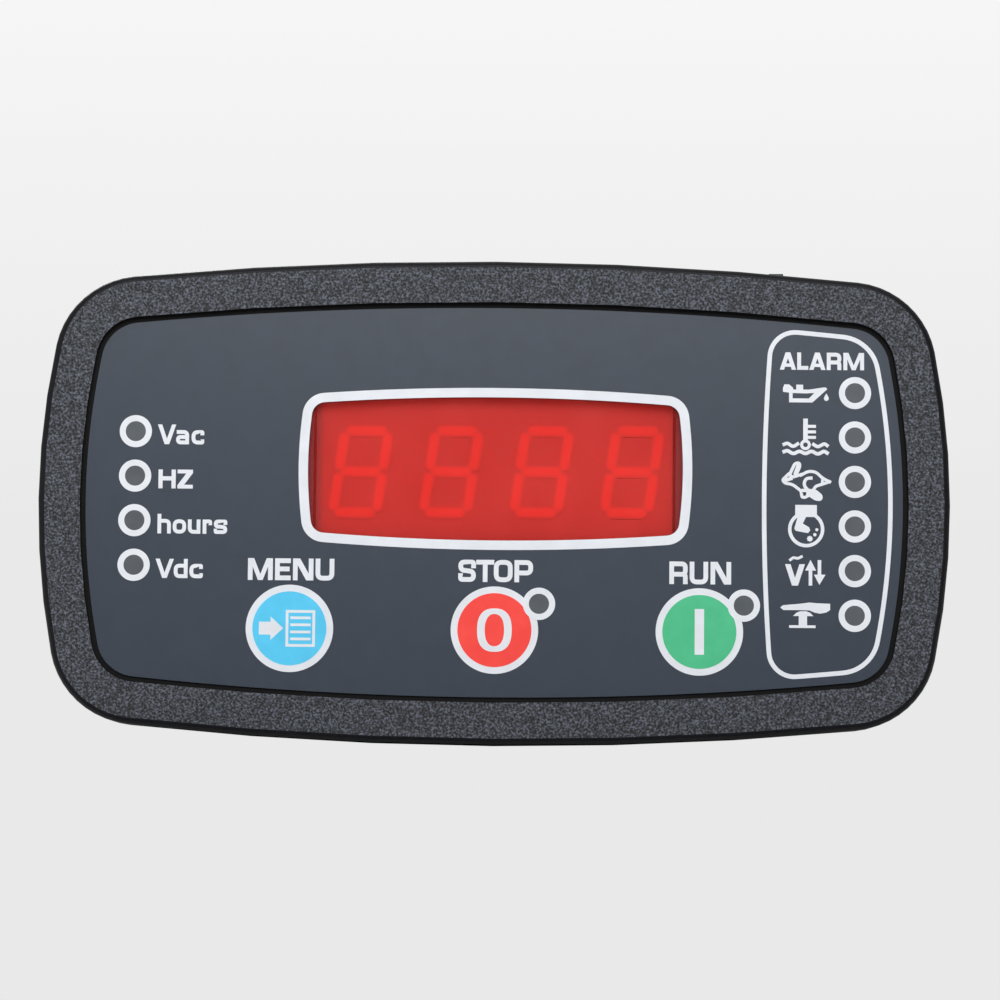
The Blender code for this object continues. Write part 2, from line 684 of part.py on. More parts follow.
def make_front_bezel():
    obj = piece("front_bezel", [prism([bezel_outline()], "Y", RING_FACE_Y, 0)], plastic_black)
    face = RING_FACE_Y + FLANGE_FACE_BAND
    round_edges(obj, FLANGE_EDGE_ROUND, 3, lambda point: point.y < face)
    cavity = rounded_rectangle(
        (0, 0), HOUSING_WIDTH + 2 * CLEARANCE, HOUSING_HEIGHT + 2 * CLEARANCE,
        HOUSING_CORNER_RADIUS + CLEARANCE)
    recess_front = RING_FACE_Y - PLATE_THICKNESS
    cut(obj, "film_recess", [prism([bezel_outline(RING_WIDTH)], "Y", recess_front, PLATE_FRONT_Y)])
    cut(obj, "housing_recess", [prism([cavity], "Y", PLATE_BACK_Y, PLATE_THICKNESS)])
    cut(obj, "pane_rebate", [
        prism([pane_outline(CLEARANCE)], "Y", recess_front, PANE_BACK_Y + SEAT_GAP)])
    opening = rectangle(
        (0, WINDOW_Z), DISPLAY_WIDTH + 2 * CLEARANCE, DISPLAY_HEIGHT + 2 * CLEARANCE)
    holes = [prism([opening], "Y", recess_front, 0)]
    for place in led_places().values():
        holes.append(rod("Y", place, LED_RADIUS + CLEARANCE, recess_front, 0, LIGHT_STEPS))
    for place in button_places().values():
        holes.append(rod("Y", place, PLUNGER_RADIUS + CLEARANCE, recess_front, 0, LIGHT_STEPS))
    cut(obj, "front_openings", holes)
    root = (PLATE_FRONT_Y + PLATE_BACK_Y) / 2
    boss_end = DISPLAY_BOARD_FRONT_Y - SEAT_GAP
    added = [rod("Y", place, BOSS_RADIUS, root, boss_end) for place in boss_places()]
    for x in (-SNAP_ARM_X, SNAP_ARM_X):
        for side in (1, -1):
            added.append(prism(
                [snap_arm(side)], "X", x - SNAP_ARM_WIDTH / 2, x + SNAP_ARM_WIDTH / 2))
    top = BEZEL_HEIGHT / 2 - BEZEL_TOP_RADIUS + math.sqrt(BEZEL_TOP_RADIUS ** 2 - GATE_MARK_X ** 2)
    added.append(box(
        (GATE_MARK_X - GATE_MARK_LENGTH / 2, GATE_MARK_FRONT_Y, top - GATE_MARK_HEIGHT),
        (GATE_MARK_X + GATE_MARK_LENGTH / 2, GATE_MARK_FRONT_Y + GATE_MARK_DEPTH,
         top + GATE_MARK_HEIGHT)))
    join(obj, "bosses_and_arms", added)
    pilot_radius = SCREW_SHANK_RADIUS + CLEARANCE
    pilot_end = PART_SEAT_Y - SCREW_LENGTH - CLEARANCE
    cut(obj, "pilot_holes", [
        rod("Y", place, pilot_radius, pilot_end, boss_end + BOARD_THICKNESS, SMALL_ROUND_STEPS)
        for place in boss_places()])
    return obj


def make_front_overlay():
    film = prism([bezel_outline(FILM_INSET)], "Y", FILM_FRONT_Y, FILM_BACK_Y)
    obj = piece("front_overlay", [film], film_slate)
    ink_y, root = FILM_FRONT_Y - INK_HEIGHT, FILM_FRONT_Y + FILM_THICKNESS / 2
    lights = led_places().values()
    buttons = button_places()
    border = prism([window_outline(-WINDOW_BORDER)], "Y", ink_y, root)
    frame = prism([alarm_frame_outline(), alarm_frame_outline(ALARM_FRAME_LINE)], "Y", ink_y, root)
    join(obj, "window_border", [border], [ink_white])
    join(obj, "alarm_frame", [frame], [ink_white])
    join(obj, "button_rings", [
        rod("Y", place, BUTTON_RING_RADIUS, ink_y, root, FIELD_STEPS)
        for place in buttons.values()], [ink_white])
    join(obj, "light_rings", [
        rod("Y", place, LED_RING_RADIUS, ink_y - INK_RING_STEP, root, RING_STEPS)
        for place in lights], [ink_white])
    fields = [
        rod("Y", buttons[name], BUTTON_FIELD_RADIUS, ink_y - INK_FIELD_STEP, root, FIELD_STEPS)
        for name in BUTTONS]
    join(obj, "button_fields", fields, [ink_blue, ink_red, ink_green])
    front, back = FILM_FRONT_Y - FILM_THICKNESS, FILM_BACK_Y + FILM_THICKNESS
    holes = [prism([window_outline()], "Y", front, back)]
    holes += [rod("Y", place, LED_WINDOW_RADIUS, front, back, LIGHT_STEPS) for place in lights]
    cut(obj, "clear_windows", holes)
    return obj


def make_display_window():
    pane = prism([pane_outline()], "Y", PLATE_FRONT_Y, PANE_BACK_Y)
    return piece("display_window", [pane], acrylic_red)


# Display


def segment_outlines(grow=0.0):
    """The 28 bars of the digits, slanted, each grown on every side."""
    half_width, half_height = (DIGIT_WIDTH - SEGMENT_WIDTH) / 2, (DIGIT_HEIGHT - SEGMENT_WIDTH) / 2
    thick = SEGMENT_WIDTH / 2
    across = half_width - SEGMENT_SPACING
    upright = half_height / 2 - SEGMENT_SPACING
    bars = [((0, z), across, False) for z in (-half_height, 0, half_height)]
    bars += [((x, z), upright, True) for x in (-half_width, half_width)
             for z in (-half_height / 2, half_height / 2)]
    first = -(DIGIT_COUNT - 1) / 2 * DIGIT_PITCH + DIGIT_SHIFT_X
    outlines = []
    for digit in range(DIGIT_COUNT):
        for (bar_x, bar_z), reach, is_upright in bars:
            points = []
            for u, v in ((-reach, 0), (-reach + thick, -thick), (reach - thick, -thick),
                         (reach, 0), (reach - thick, thick), (-reach + thick, thick)):
                u += math.copysign(grow, u)
                v += math.copysign(grow, v) if v else 0
                x, z = (-v, u) if is_upright else (u, v)
                x, z = x + bar_x, z + bar_z
                points.append((
                    first + digit * DIGIT_PITCH + x + z * math.tan(DIGIT_SLANT),
                    WINDOW_Z + DIGIT_SHIFT_Z + z))
            outlines.append(points)
    return outlines


def make_display_case():
    wall_y = DISPLAY_FACE_Y + DISPLAY_WALL
    case = rectangle((0, WINDOW_Z), DISPLAY_WIDTH, DISPLAY_HEIGHT)
    pocket = rectangle(
        (0, WINDOW_Z), DISPLAY_WIDTH - 2 * DISPLAY_WALL, DISPLAY_HEIGHT - 2 * DISPLAY_WALL)
    obj = piece("display_case", [prism([case], "Y", DISPLAY_FACE_Y, DISPLAY_BACK_Y)], display_red)
    cut(obj, "filling_pocket", [prism([pocket], "Y", wall_y, DISPLAY_BACK_Y + DISPLAY_WALL)])
    cut(obj, "segment_windows", [
        prism([outline], "Y", DISPLAY_FACE_Y - DISPLAY_WALL, wall_y + DISPLAY_WALL)
        for outline in segment_outlines(SEAT_GAP)])
    return obj


def make_display_segments():
    """The cast filling of the display, whose bars show in the case's windows."""
    wall_y = DISPLAY_FACE_Y + DISPLAY_WALL + SEAT_GAP
    shrink = 2 * (DISPLAY_WALL + SEAT_GAP)
    filling = rectangle((0, WINDOW_Z), DISPLAY_WIDTH - shrink, DISPLAY_HEIGHT - shrink)
    obj = piece("display_segments", [
        prism([filling], "Y", wall_y, DISPLAY_BACK_Y - DISPLAY_WALL)], segment_red)
    join(obj, "bars", [
        prism([outline], "Y", DISPLAY_FACE_Y + SEAT_GAP, wall_y + DISPLAY_WALL)
        for outline in segment_outlines()])
    return obj


# Indicator lights and key switches


def make_leds():
    dome = [(LED_RADIUS * math.sin(a), LED_LENGTH - LED_RADIUS + LED_RADIUS * math.cos(a))
            for a in (math.pi / 4 * i for i in range(3))]
    dome[0] = (0, LED_LENGTH)
    profile = dome + [
        (LED_RADIUS, LED_FLANGE_HEIGHT),
        (LED_FLANGE_RADIUS, LED_FLANGE_HEIGHT),
        (LED_FLANGE_RADIUS, 0),
        (0, 0),
    ]
    base_y = FILM_BACK_Y + SEAT_GAP + LED_LENGTH
    places = led_places()
    names = list(places)
    first_x, first_z = places[names[0]]
    first = turned(
        names[0], profile, LIGHT_STEPS, lens_smoke, (first_x, base_y, first_z), True)
    lead_end = base_y + SEAT_GAP - DISPLAY_BOARD_FRONT_Y
    half = LEAD_WIDTH / 2
    join(first, "leads", [
        box((x - half, -half, lead_end), (x + half, half, LED_FLANGE_HEIGHT / 2))
        for x in (-LEAD_SPACING / 2, LEAD_SPACING / 2)])
    settle(first)
    for name in names[1:]:
        x, z = places[name]
        copy_of(first, name, (x, base_y, z))


def make_switches():
    case_y = DISPLAY_BOARD_FRONT_Y - SEAT_GAP - SWITCH_HEIGHT
    half = SWITCH_SIZE / 2
    foot_y = SWITCH_LID + CLEARANCE
    chamber_end = foot_y + PLUNGER_FOOT + PLUNGER_TRAVEL + CLEARANCE
    tip = case_y - FILM_BACK_Y - PLUNGER_FILM_GAP
    profile = [
        (0, tip),
        (PLUNGER_RADIUS - PLUNGER_CHAMFER, tip),
        (PLUNGER_RADIUS, tip - PLUNGER_CHAMFER),
        (PLUNGER_RADIUS, -foot_y),
        (PLUNGER_FOOT_RADIUS, -foot_y),
        (PLUNGER_FOOT_RADIUS, -foot_y - PLUNGER_FOOT),
        (0, -foot_y - PLUNGER_FOOT),
    ]
    case = plunger = None
    for name, (x, z) in button_places().items():
        place = (x, case_y, z)
        if case is None:
            case = piece(name + "_switch", [
                box((-half, 0, -half), (half, SWITCH_HEIGHT, half))], plastic_dark, place)
            cut(case, "stem_hole", [
                rod("Y", (0, 0), PLUNGER_RADIUS + CLEARANCE, -SWITCH_LID, foot_y)])
            cut(case, "chamber", [
                rod("Y", (0, 0), PLUNGER_FOOT_RADIUS + CLEARANCE, SWITCH_LID, chamber_end)])
            settle(case)
            plunger = turned(name + "_plunger", profile, ROUND_STEPS, plastic_pale, place, True)
            settle(plunger)
        else:
            copy_of(case, name + "_switch", place)
            copy_of(plunger, name + "_plunger", place)


# Boards


def make_display_board():
    outline = rounded_rectangle(
        (0, 0), DISPLAY_BOARD_WIDTH, DISPLAY_BOARD_HEIGHT, BOARD_CORNER_RADIUS)
    holes = [circle(place, SCREW_SHANK_RADIUS + CLEARANCE, SMALL_ROUND_STEPS)
             for place in boss_places()]
    board = prism([outline, *holes], "Y", DISPLAY_BOARD_FRONT_Y, DISPLAY_BOARD_BACK_Y)
    return piece("display_board", [board], board_green)


def make_board_screws():
    profile = [
        (0, SCREW_HEAD_HEIGHT),
        (SCREW_HEAD_TOP_RADIUS, SCREW_HEAD_HEIGHT),
        (SCREW_HEAD_RADIUS, SCREW_HEAD_RIM),
        (SCREW_HEAD_RADIUS, 0),
        (SCREW_SHANK_RADIUS, 0),
        (SCREW_SHANK_RADIUS, -SCREW_LENGTH + SCREW_SHANK_RADIUS),
        (0, -SCREW_LENGTH),
    ]
    first = None
    for number, (x, z) in enumerate(boss_places(), 1):
        name, place = f"board_screw_{number}", (x, PART_SEAT_Y, z)
        if first is None:
            first = turned(name, profile, SMALL_ROUND_STEPS, steel)
            first.rotation_euler = (-math.pi / 2, 0, 0)
            first.location = place
            settle(first)
        else:
            copy_of(first, name, place)


def make_microcontroller():
    half = MICROCONTROLLER_SIZE / 2
    x, z = MICROCONTROLLER_X, DISPLAY_PARTS_Z
    body = box((x - half, PART_SEAT_Y, z - half), (x + half, PART_SEAT_Y + MICROCONTROLLER_HEIGHT, z + half))
    obj = piece("microcontroller", [body], plastic_dark)
    round_edges(obj, MICROCONTROLLER_CHAMFER, 1, lambda point: point.y > PART_SEAT_Y + SEAT_GAP)
    return obj


def make_crystal():
    left = MICROCONTROLLER_X + MICROCONTROLLER_SIZE / 2 + PART_SPACING
    middle = (left + CRYSTAL_LENGTH / 2, DISPLAY_PARTS_Z)
    outline = rounded_rectangle(middle, CRYSTAL_LENGTH, CRYSTAL_WIDTH, CRYSTAL_WIDTH / 2 - SEAT_GAP, 4)
    can = prism([outline], "Y", PART_SEAT_Y, PART_SEAT_Y + CRYSTAL_HEIGHT)
    return piece("crystal", [can], steel)


def make_main_board():
    low, high = (-MAIN_BOARD_WIDTH / 2, MAIN_BOARD_FRONT_Y), (MAIN_BOARD_WIDTH / 2, MAIN_BOARD_BACK_Y)
    middle = ((low[0] + high[0]) / 2, (low[1] + high[1]) / 2)
    outline = rounded_rectangle(middle, high[0] - low[0], high[1] - low[1], BOARD_CORNER_RADIUS / 2)
    board = prism([outline], "Z", MAIN_BOARD_BOTTOM_Z, MAIN_BOARD_TOP_Z)
    return piece("main_board", [board], board_green)


def make_board_link():
    """The pin strip under the main board that joins the boards, as one moulding with its pins."""
    half = LINK_PINS * LINK_PITCH / 2
    front = MAIN_BOARD_FRONT_Y + CLEARANCE
    top = MAIN_BOARD_BOTTOM_Z - SEAT_GAP
    obj = piece("board_link", [
        box((-half, front, top - LINK_PITCH), (half, front + LINK_PITCH, top))], plastic_dark)
    middle_z, width = top - LINK_PITCH / 2, LINK_PIN_WIDTH / 2
    pins = []
    for x in pole_places(LINK_PINS, LINK_PITCH):
        pins.append(box(
            (x - width, PART_SEAT_Y, middle_z - width), (x + width, front + width, middle_z + width)))
    join(obj, "pins", pins)
    return obj


# Parts on the main board


def make_relays():
    left = -MAIN_BOARD_WIDTH / 2 + PART_MARGIN
    back = SOCKET_FRONT_Y - CLEARANCE
    first = None
    for i, name in enumerate(("start_relay", "fuel_relay")):
        x = left + RELAY_WIDTH / 2 + i * (RELAY_WIDTH + PART_SPACING)
        place = (x, back - RELAY_DEPTH / 2, PART_SEAT_Z)
        if first is None:
            first = piece(name, [box(
                (-RELAY_WIDTH / 2, -RELAY_DEPTH / 2, 0), (RELAY_WIDTH / 2, RELAY_DEPTH / 2, RELAY_HEIGHT))],
                relay_blue, place)
            round_edges(first, RELAY_EDGE_ROUND, 1, lambda point: point.z > RELAY_HEIGHT / 2)
            settle(first)
        else:
            copy_of(first, name, place)


def capacitor_profile(radius, height):
    """A can with a crimped top rim and a groove above its foot."""
    lip, groove = CAPACITOR_LIP, CAPACITOR_GROOVE_Z
    return [
        (0, height - lip),
        (radius - 3 * lip, height - lip),
        (radius - 2 * lip, height),
        (radius, height - 2 * lip),
        (radius, groove + lip),
        (radius - lip, groove),
        (radius, groove - lip),
        (radius, 0),
        (0, 0),
    ]


def make_capacitors():
    left = -MAIN_BOARD_WIDTH / 2 + PART_MARGIN + 2 * (RELAY_WIDTH + PART_SPACING)
    y = SOCKET_FRONT_Y - PART_SPACING - SUPPLY_CAPACITOR_RADIUS
    supply_x = left + SUPPLY_CAPACITOR_RADIUS
    filter_x = supply_x + SUPPLY_CAPACITOR_RADIUS + PART_SPACING + FILTER_CAPACITOR_RADIUS
    turned("supply_capacitor", capacitor_profile(SUPPLY_CAPACITOR_RADIUS, SUPPLY_CAPACITOR_HEIGHT),
           ROUND_STEPS, sleeve_black, (supply_x, y, PART_SEAT_Z))
    turned("filter_capacitor", capacitor_profile(FILTER_CAPACITOR_RADIUS, FILTER_CAPACITOR_HEIGHT),
           ROUND_STEPS, sleeve_black, (filter_x, y, PART_SEAT_Z))


def make_voltage_regulator():
    """A tab regulator that stands between the two sockets, its back to the right."""
    middle_x = (DC_SOCKET_RIGHT_X + AC_SOCKET_LEFT_X) / 2
    front_x, back_x = middle_x - REGULATOR_BODY_DEPTH / 2, middle_x + REGULATOR_BODY_DEPTH / 2
    y, half = (SOCKET_FRONT_Y + SOCKET_BACK_Y) / 2, REGULATOR_WIDTH / 2
    low = PART_SEAT_Z + REGULATOR_LEAD_HEIGHT
    obj = piece("voltage_regulator", [
        box((front_x, y - half, low), (back_x, y + half, low + REGULATOR_BODY_HEIGHT))], plastic_dark)
    tab_x = back_x - REGULATOR_TAB_THICKNESS
    join(obj, "tab", [box(
        (tab_x, y - half, low + REGULATOR_BODY_HEIGHT - REGULATOR_TAB_THICKNESS),
        (back_x, y + half, low + REGULATOR_TAB_HEIGHT))])
    join(obj, "leads", [
        box((middle_x, y + i * LINK_PITCH - LEAD_WIDTH / 2, PART_SEAT_Z),
            (middle_x + LEAD_WIDTH, y + i * LINK_PITCH + LEAD_WIDTH / 2, low + LEAD_WIDTH))
        for i in (-1, 0, 1)])
    hole_z = low + (REGULATOR_BODY_HEIGHT + REGULATOR_TAB_HEIGHT) / 2
    cut(obj, "tab_hole", [rod("X", (y, hole_z), REGULATOR_HOLE_RADIUS, tab_x - CLEARANCE,
                              back_x + CLEARANCE, SMALL_ROUND_STEPS)])
    return obj


def make_charge_resistor():
    """A resistor that lies along Y, beside the varistor."""
    length = RESISTOR_LENGTH
    x = MAIN_BOARD_WIDTH / 2 - PART_MARGIN - VARISTOR_THICKNESS - PART_SPACING - RESISTOR_RADIUS
    y = SOCKET_FRONT_Y - PART_SPACING - LEAD_WIDTH - length / 2
    z = PART_SEAT_Z + CLEARANCE + RESISTOR_RADIUS
    obj = piece("charge_resistor", [
        rod("Y", (x, z), RESISTOR_RADIUS, y - length / 2, y + length / 2)], ceramic_cream)
    half, bend = LEAD_WIDTH / 2, length / 2 + LEAD_WIDTH
    leads = []
    for side in (-1, 1):
        inner, outer = y + side * (length / 2 - LEAD_WIDTH), y + side * bend
        leads.append(prism([[
            (inner, z - half), (inner, z + half), (outer, z + half), (outer, PART_SEAT_Z),
            (outer - side * LEAD_WIDTH, PART_SEAT_Z), (outer - side * LEAD_WIDTH, z - half),
        ]], "X", x - half, x + half))
    join(obj, "leads", leads)
    return obj


def make_varistor():
    high_x = MAIN_BOARD_WIDTH / 2 - PART_MARGIN
    low_x = high_x - VARISTOR_THICKNESS
    y = SOCKET_FRONT_Y - PART_SPACING - VARISTOR_RADIUS
    z = PART_SEAT_Z + PART_SPACING + VARISTOR_RADIUS
    obj = piece("varistor", [rod("X", (y, z), VARISTOR_RADIUS, low_x, high_x, ROUND_STEPS)], varistor_blue)
    middle_x, half = (low_x + high_x) / 2, LEAD_WIDTH / 2
    join(obj, "leads", [
        box((middle_x - half, y + side - half, PART_SEAT_Z), (middle_x + half, y + side + half, z))
        for side in (-LINK_PITCH, LINK_PITCH)])
    return obj


# Terminals


def pole_places(poles, pitch):
    return [(i - (poles - 1) / 2) * pitch for i in range(poles)]


def make_socket(name, poles, pitch, middle_x):
    """A terminal socket open to the back, as one moulding with its pins."""
    half = poles * pitch / 2 + SOCKET_END
    low, high = PART_SEAT_Z, PART_SEAT_Z + SOCKET_HEIGHT
    obj = piece(name, [
        box((middle_x - half, SOCKET_FRONT_Y, low), (middle_x + half, SOCKET_BACK_Y, high))], terminal_green)
    inner = half - SOCKET_WALL
    floor_y = SOCKET_FRONT_Y + SOCKET_FLOOR
    cut(obj, "cavity", [
        box((middle_x - inner, floor_y, low + SOCKET_WALL),
            (middle_x + inner, SOCKET_BACK_Y + SOCKET_WALL, high - SOCKET_WALL))])
    pin = PIN_WIDTH / 2
    join(obj, "pins", [
        box((middle_x + x - pin, floor_y - SOCKET_FLOOR / 2, SOCKET_MIDDLE_Z - pin),
            (middle_x + x + pin, floor_y + PIN_LENGTH, SOCKET_MIDDLE_Z + pin))
        for x in pole_places(poles, pitch)])
    return obj


def make_plug(name, poles, pitch, middle_x, screw_name):
    """A screw terminal plug whose tongue fills the socket. Its origin is where its shoulder
    meets the socket, and it pulls off along Y."""
    half = poles * pitch / 2
    tongue = SOCKET_HEIGHT / 2 - SOCKET_WALL - CLEARANCE
    reach = SOCKET_DEPTH - SOCKET_FLOOR
    depth, slope = PLUG_BODY_DEPTH, PLUG_SLOPE
    section = [
        (-reach, -tongue), (0, -tongue), (0, -PLUG_BELOW),
        (depth - slope / 2, -PLUG_BELOW), (depth, -PLUG_BELOW + slope / 2),
        (depth, PLUG_ABOVE - 2 * slope), (depth - slope, PLUG_ABOVE),
        (slope, PLUG_ABOVE), (0, PLUG_ABOVE - slope), (0, tongue), (-reach, tongue),
    ]
    place = (middle_x, PLUG_SHOULDER_Y, SOCKET_MIDDLE_Z)
    obj = piece(name, [prism([section], "X", -half, half)], terminal_green, place)
    poles_x = pole_places(poles, pitch)
    pin = PIN_WIDTH / 2 + CLEARANCE
    cut(obj, "pin_holes", [
        box((x - pin, -reach - CLEARANCE, -pin), (x + pin, PIN_LENGTH - reach + 2 * CLEARANCE, pin))
        for x in poles_x])
    entry = WIRE_ENTRY_WIDTH / 2
    entry_high = -WIRE_ENTRY_DROP + WIRE_ENTRY_HEIGHT / 2
    cut(obj, "wire_entries", [
        box((x - entry, depth - WIRE_ENTRY_DEPTH, entry_high - WIRE_ENTRY_HEIGHT),
            (x + entry, depth + slope, entry_high)) for x in poles_x])
    screw_y = depth / 2
    screw_low = PLUG_ABOVE - CLAMP_SCREW_SUNK - CLAMP_SCREW_HEIGHT
    cut(obj, "screw_wells", [
        rod("Z", (x, screw_y), CLAMP_SCREW_RADIUS + CLEARANCE, screw_low - SEAT_GAP,
            PLUG_ABOVE + slope) for x in poles_x])
    for number, x in enumerate(poles_x, 1):
        copy_of(clamp_screw, f"{screw_name}_{number}", (x, screw_y, screw_low), obj)
    return obj


def make_clamp_screw():
    """The slotted screw that all terminals share, made once."""
    obj = piece("clamp_screw", [
        rod("Z", (0, 0), CLAMP_SCREW_RADIUS, 0, CLAMP_SCREW_HEIGHT, LIGHT_STEPS)], steel)
    slot, reach = CLAMP_SCREW_SLOT / 2, 2 * CLAMP_SCREW_RADIUS
    cut(obj, "slot", [
        box((-reach, -slot, CLAMP_SCREW_HEIGHT - 2 * slot), (reach, slot, CLAMP_SCREW_HEIGHT + slot))])
    return settle(obj)


# Housing


def tooth_row(side):
    """A row of ratchet teeth, each steep towards the panel and sloping down to the back."""
    surface = side * HOUSING_HEIGHT / 2
    crest = surface + side * TOOTH_HEIGHT
    back = TOOTH_FRONT_Y + TOOTH_COUNT * TOOTH_PITCH
    section = [(back, surface - side * HOUSING_WALL / 2), (TOOTH_FRONT_Y, surface - side * HOUSING_WALL / 2)]
    for i in range(TOOTH_COUNT):
        front = TOOTH_FRONT_Y + i * TOOTH_PITCH
        section += [(front, crest), (front + TOOTH_PITCH, surface)]
    return section


def plug_opening(width, middle_x):
    gap = PLUG_OPENING_GAP
    return box(
        (middle_x - width / 2 - gap, REAR_WALL_Y - HOUSING_WALL / 2, SOCKET_MIDDLE_Z - PLUG_BELOW - gap),
        (middle_x + width / 2 + gap, HOUSING_DEPTH + HOUSING_WALL, SOCKET_MIDDLE_Z + PLUG_ABOVE + gap))


def make_rear_housing():
    outline = rounded_rectangle((0, 0), HOUSING_WIDTH, HOUSING_HEIGHT, HOUSING_CORNER_RADIUS)
    obj = piece("rear_housing", [prism([outline], "Y", HOUSING_FRONT_Y, HOUSING_DEPTH)], plastic_black)
    round_edges(obj, HOUSING_EDGE_ROUND, 2, lambda point: point.y > REAR_WALL_Y)
    inside = rounded_rectangle(
        (0, 0), INNER_WIDTH, INNER_HEIGHT, HOUSING_CORNER_RADIUS - HOUSING_WALL)
    cut(obj, "inside", [prism([inside], "Y", HOUSING_FRONT_Y - HOUSING_WALL, REAR_WALL_Y)])
    rows = []
    for x in (-TOOTH_ROW_X, TOOTH_ROW_X):
        for side in (1, -1):
            rows.append(prism(
                [tooth_row(side)], "X", x - TOOTH_ROW_WIDTH / 2, x + TOOTH_ROW_WIDTH / 2))
    join(obj, "teeth", rows)
    guides = []
    for side in (-1, 1):
        wall, inner = side * (INNER_WIDTH / 2 + HOUSING_WALL / 2), side * (INNER_WIDTH / 2 - GUIDE_WIDTH)
        for low in (MAIN_BOARD_BOTTOM_Z - CLEARANCE - GUIDE_WIDTH, MAIN_BOARD_TOP_Z + CLEARANCE):
            guides.append(box(
                (min(wall, inner), MAIN_BOARD_FRONT_Y, low),
                (max(wall, inner), REAR_WALL_Y + HOUSING_WALL / 2, low + GUIDE_WIDTH)))
    join(obj, "board_guides", guides)
    openings = [plug_opening(DC_WIDTH, DC_X), plug_opening(AC_WIDTH, AC_X)]
    vents = []
    for side in (-1, 1):
        low, high = sorted((side * (INNER_HEIGHT / 2 - CLEARANCE), side * (HOUSING_HEIGHT / 2 + CLEARANCE)))
        for i in range(VENT_COUNT):
            x = (i - (VENT_COUNT - 1) / 2) * VENT_PITCH
            middle = (x, VENT_FRONT_Y + VENT_LENGTH / 2)
            vents.append(prism([rounded_rectangle(
                middle, VENT_WIDTH, VENT_LENGTH, VENT_WIDTH / 2 - SEAT_GAP, 2)], "Z", low, high))
        for x in (-SNAP_ARM_X, SNAP_ARM_X):
            half = SNAP_ARM_WIDTH / 2 + CLEARANCE
            vents.append(box(
                (x - half, SNAP_HOOK_Y - CLEARANCE, low), (x + half, SNAP_ARM_END_Y - CLEARANCE, high)))
    cut(obj, "plug_openings", openings)
    cut(obj, "vents_and_snap_windows", vents)
    return obj


# Mounting spring


def make_mounting_spring():
    inner_width = HOUSING_WIDTH + 2 * CLEARANCE + SPRING_SHEET
    inner_height = HOUSING_HEIGHT + 2 * (TOOTH_HEIGHT + CLEARANCE)
    steep_y = TOOTH_FRONT_Y + SPRING_BARB_TOOTH * TOOTH_PITCH
    tip_y = steep_y - CLEARANCE
    band_back = tip_y - SPRING_BARB_LENGTH
    band_front = band_back - SPRING_BAND_WIDTH
    inner = rounded_rectangle((0, 0), inner_width, inner_height, SPRING_CORNER_RADIUS)
    outer = rounded_rectangle(
        (0, 0), inner_width + 2 * SPRING_SHEET, inner_height + 2 * SPRING_SHEET,
        SPRING_CORNER_RADIUS + SPRING_SHEET)
    obj = piece("mounting_spring", [prism([outer, inner], "Y", band_front, band_back)], steel)
    sheet, band_z = SPRING_SHEET, inner_height / 2 + SPRING_SHEET / 2
    foot_y = PANEL_THICKNESS + SEAT_GAP + sheet / 2
    knee_z = band_z + SPRING_LEG_BOW / 2
    leg = [
        (band_front + sheet, band_z),
        (band_front - sheet, band_z),
        (band_front - SPRING_LEG_RISE, band_z + SPRING_LEG_SHOULDER),
        ((foot_y + band_front) / 2, band_z + SPRING_LEG_BOW),
        (foot_y, knee_z),
        (foot_y, knee_z + SPRING_FOOT),
    ]
    barb_z = HOUSING_HEIGHT / 2 + CLEARANCE + sheet / 2
    barb = [
        (band_back - sheet, band_z),
        (band_back + sheet / 2, band_z),
        (tip_y, barb_z),
    ]
    springs = []
    for line, middle, width in (
            (leg, SPRING_LEG_X, SPRING_LEG_WIDTH), (barb, TOOTH_ROW_X, SPRING_BARB_WIDTH)):
        section = strip_outline(line, sheet)
        for x in (-middle, middle):
            for side in (1, -1):
                flipped = [(y, side * z) for y, z in section]
                springs.append(prism([flipped], "X", x - width / 2, x + width / 2))
    join(obj, "legs_and_barbs", springs)
    return obj


clear_scene()
parts = new_collection("genset_controller")
cutters = new_collection("cutters")

plastic_black = new_material("moulded_abs_black", "#3f4044", 0.6)
plastic_dark = new_material("moulded_nylon_dark", "#26272a", 0.5)
plastic_pale = new_material("moulded_acetal_pale", "#d8d6cf", 0.45)
film_slate = new_material("printed_film_slate", "#4a4f5a", 0.5)
ink_white = new_material("ink_white", "#e6ebf2", 0.5)
ink_blue = new_material("ink_blue", "#47bdec", 0.5)
ink_red = new_material("ink_red", "#fa4b45", 0.5)
ink_green = new_material("ink_green", "#3fb87a", 0.5)
acrylic_red = new_material("acrylic_red", "#d8342f", 0.15, alpha=0.35)
display_red = new_material("display_face_red", "#c83232", 0.5)
segment_red = new_material("display_segment_red", "#ff4a34", 0.4)
lens_smoke = new_material("lens_smoke", "#6a6e6d", 0.3)
board_green = new_material("circuit_board_green", "#2c6b3f", 0.5)
relay_blue = new_material("relay_blue", "#2c6fb0", 0.4)
sleeve_black = new_material("capacitor_sleeve", "#20242c", 0.4)
ceramic_cream = new_material("ceramic_cream", "#d9cfb4", 0.6)
varistor_blue = new_material("varistor_blue", "#3a6ea8", 0.5)
terminal_green = new_material("terminal_green", "#3c9a56", 0.5)
steel = new_material("zinc_plated_steel", "#b9bcc0", 0.35, 1.0)

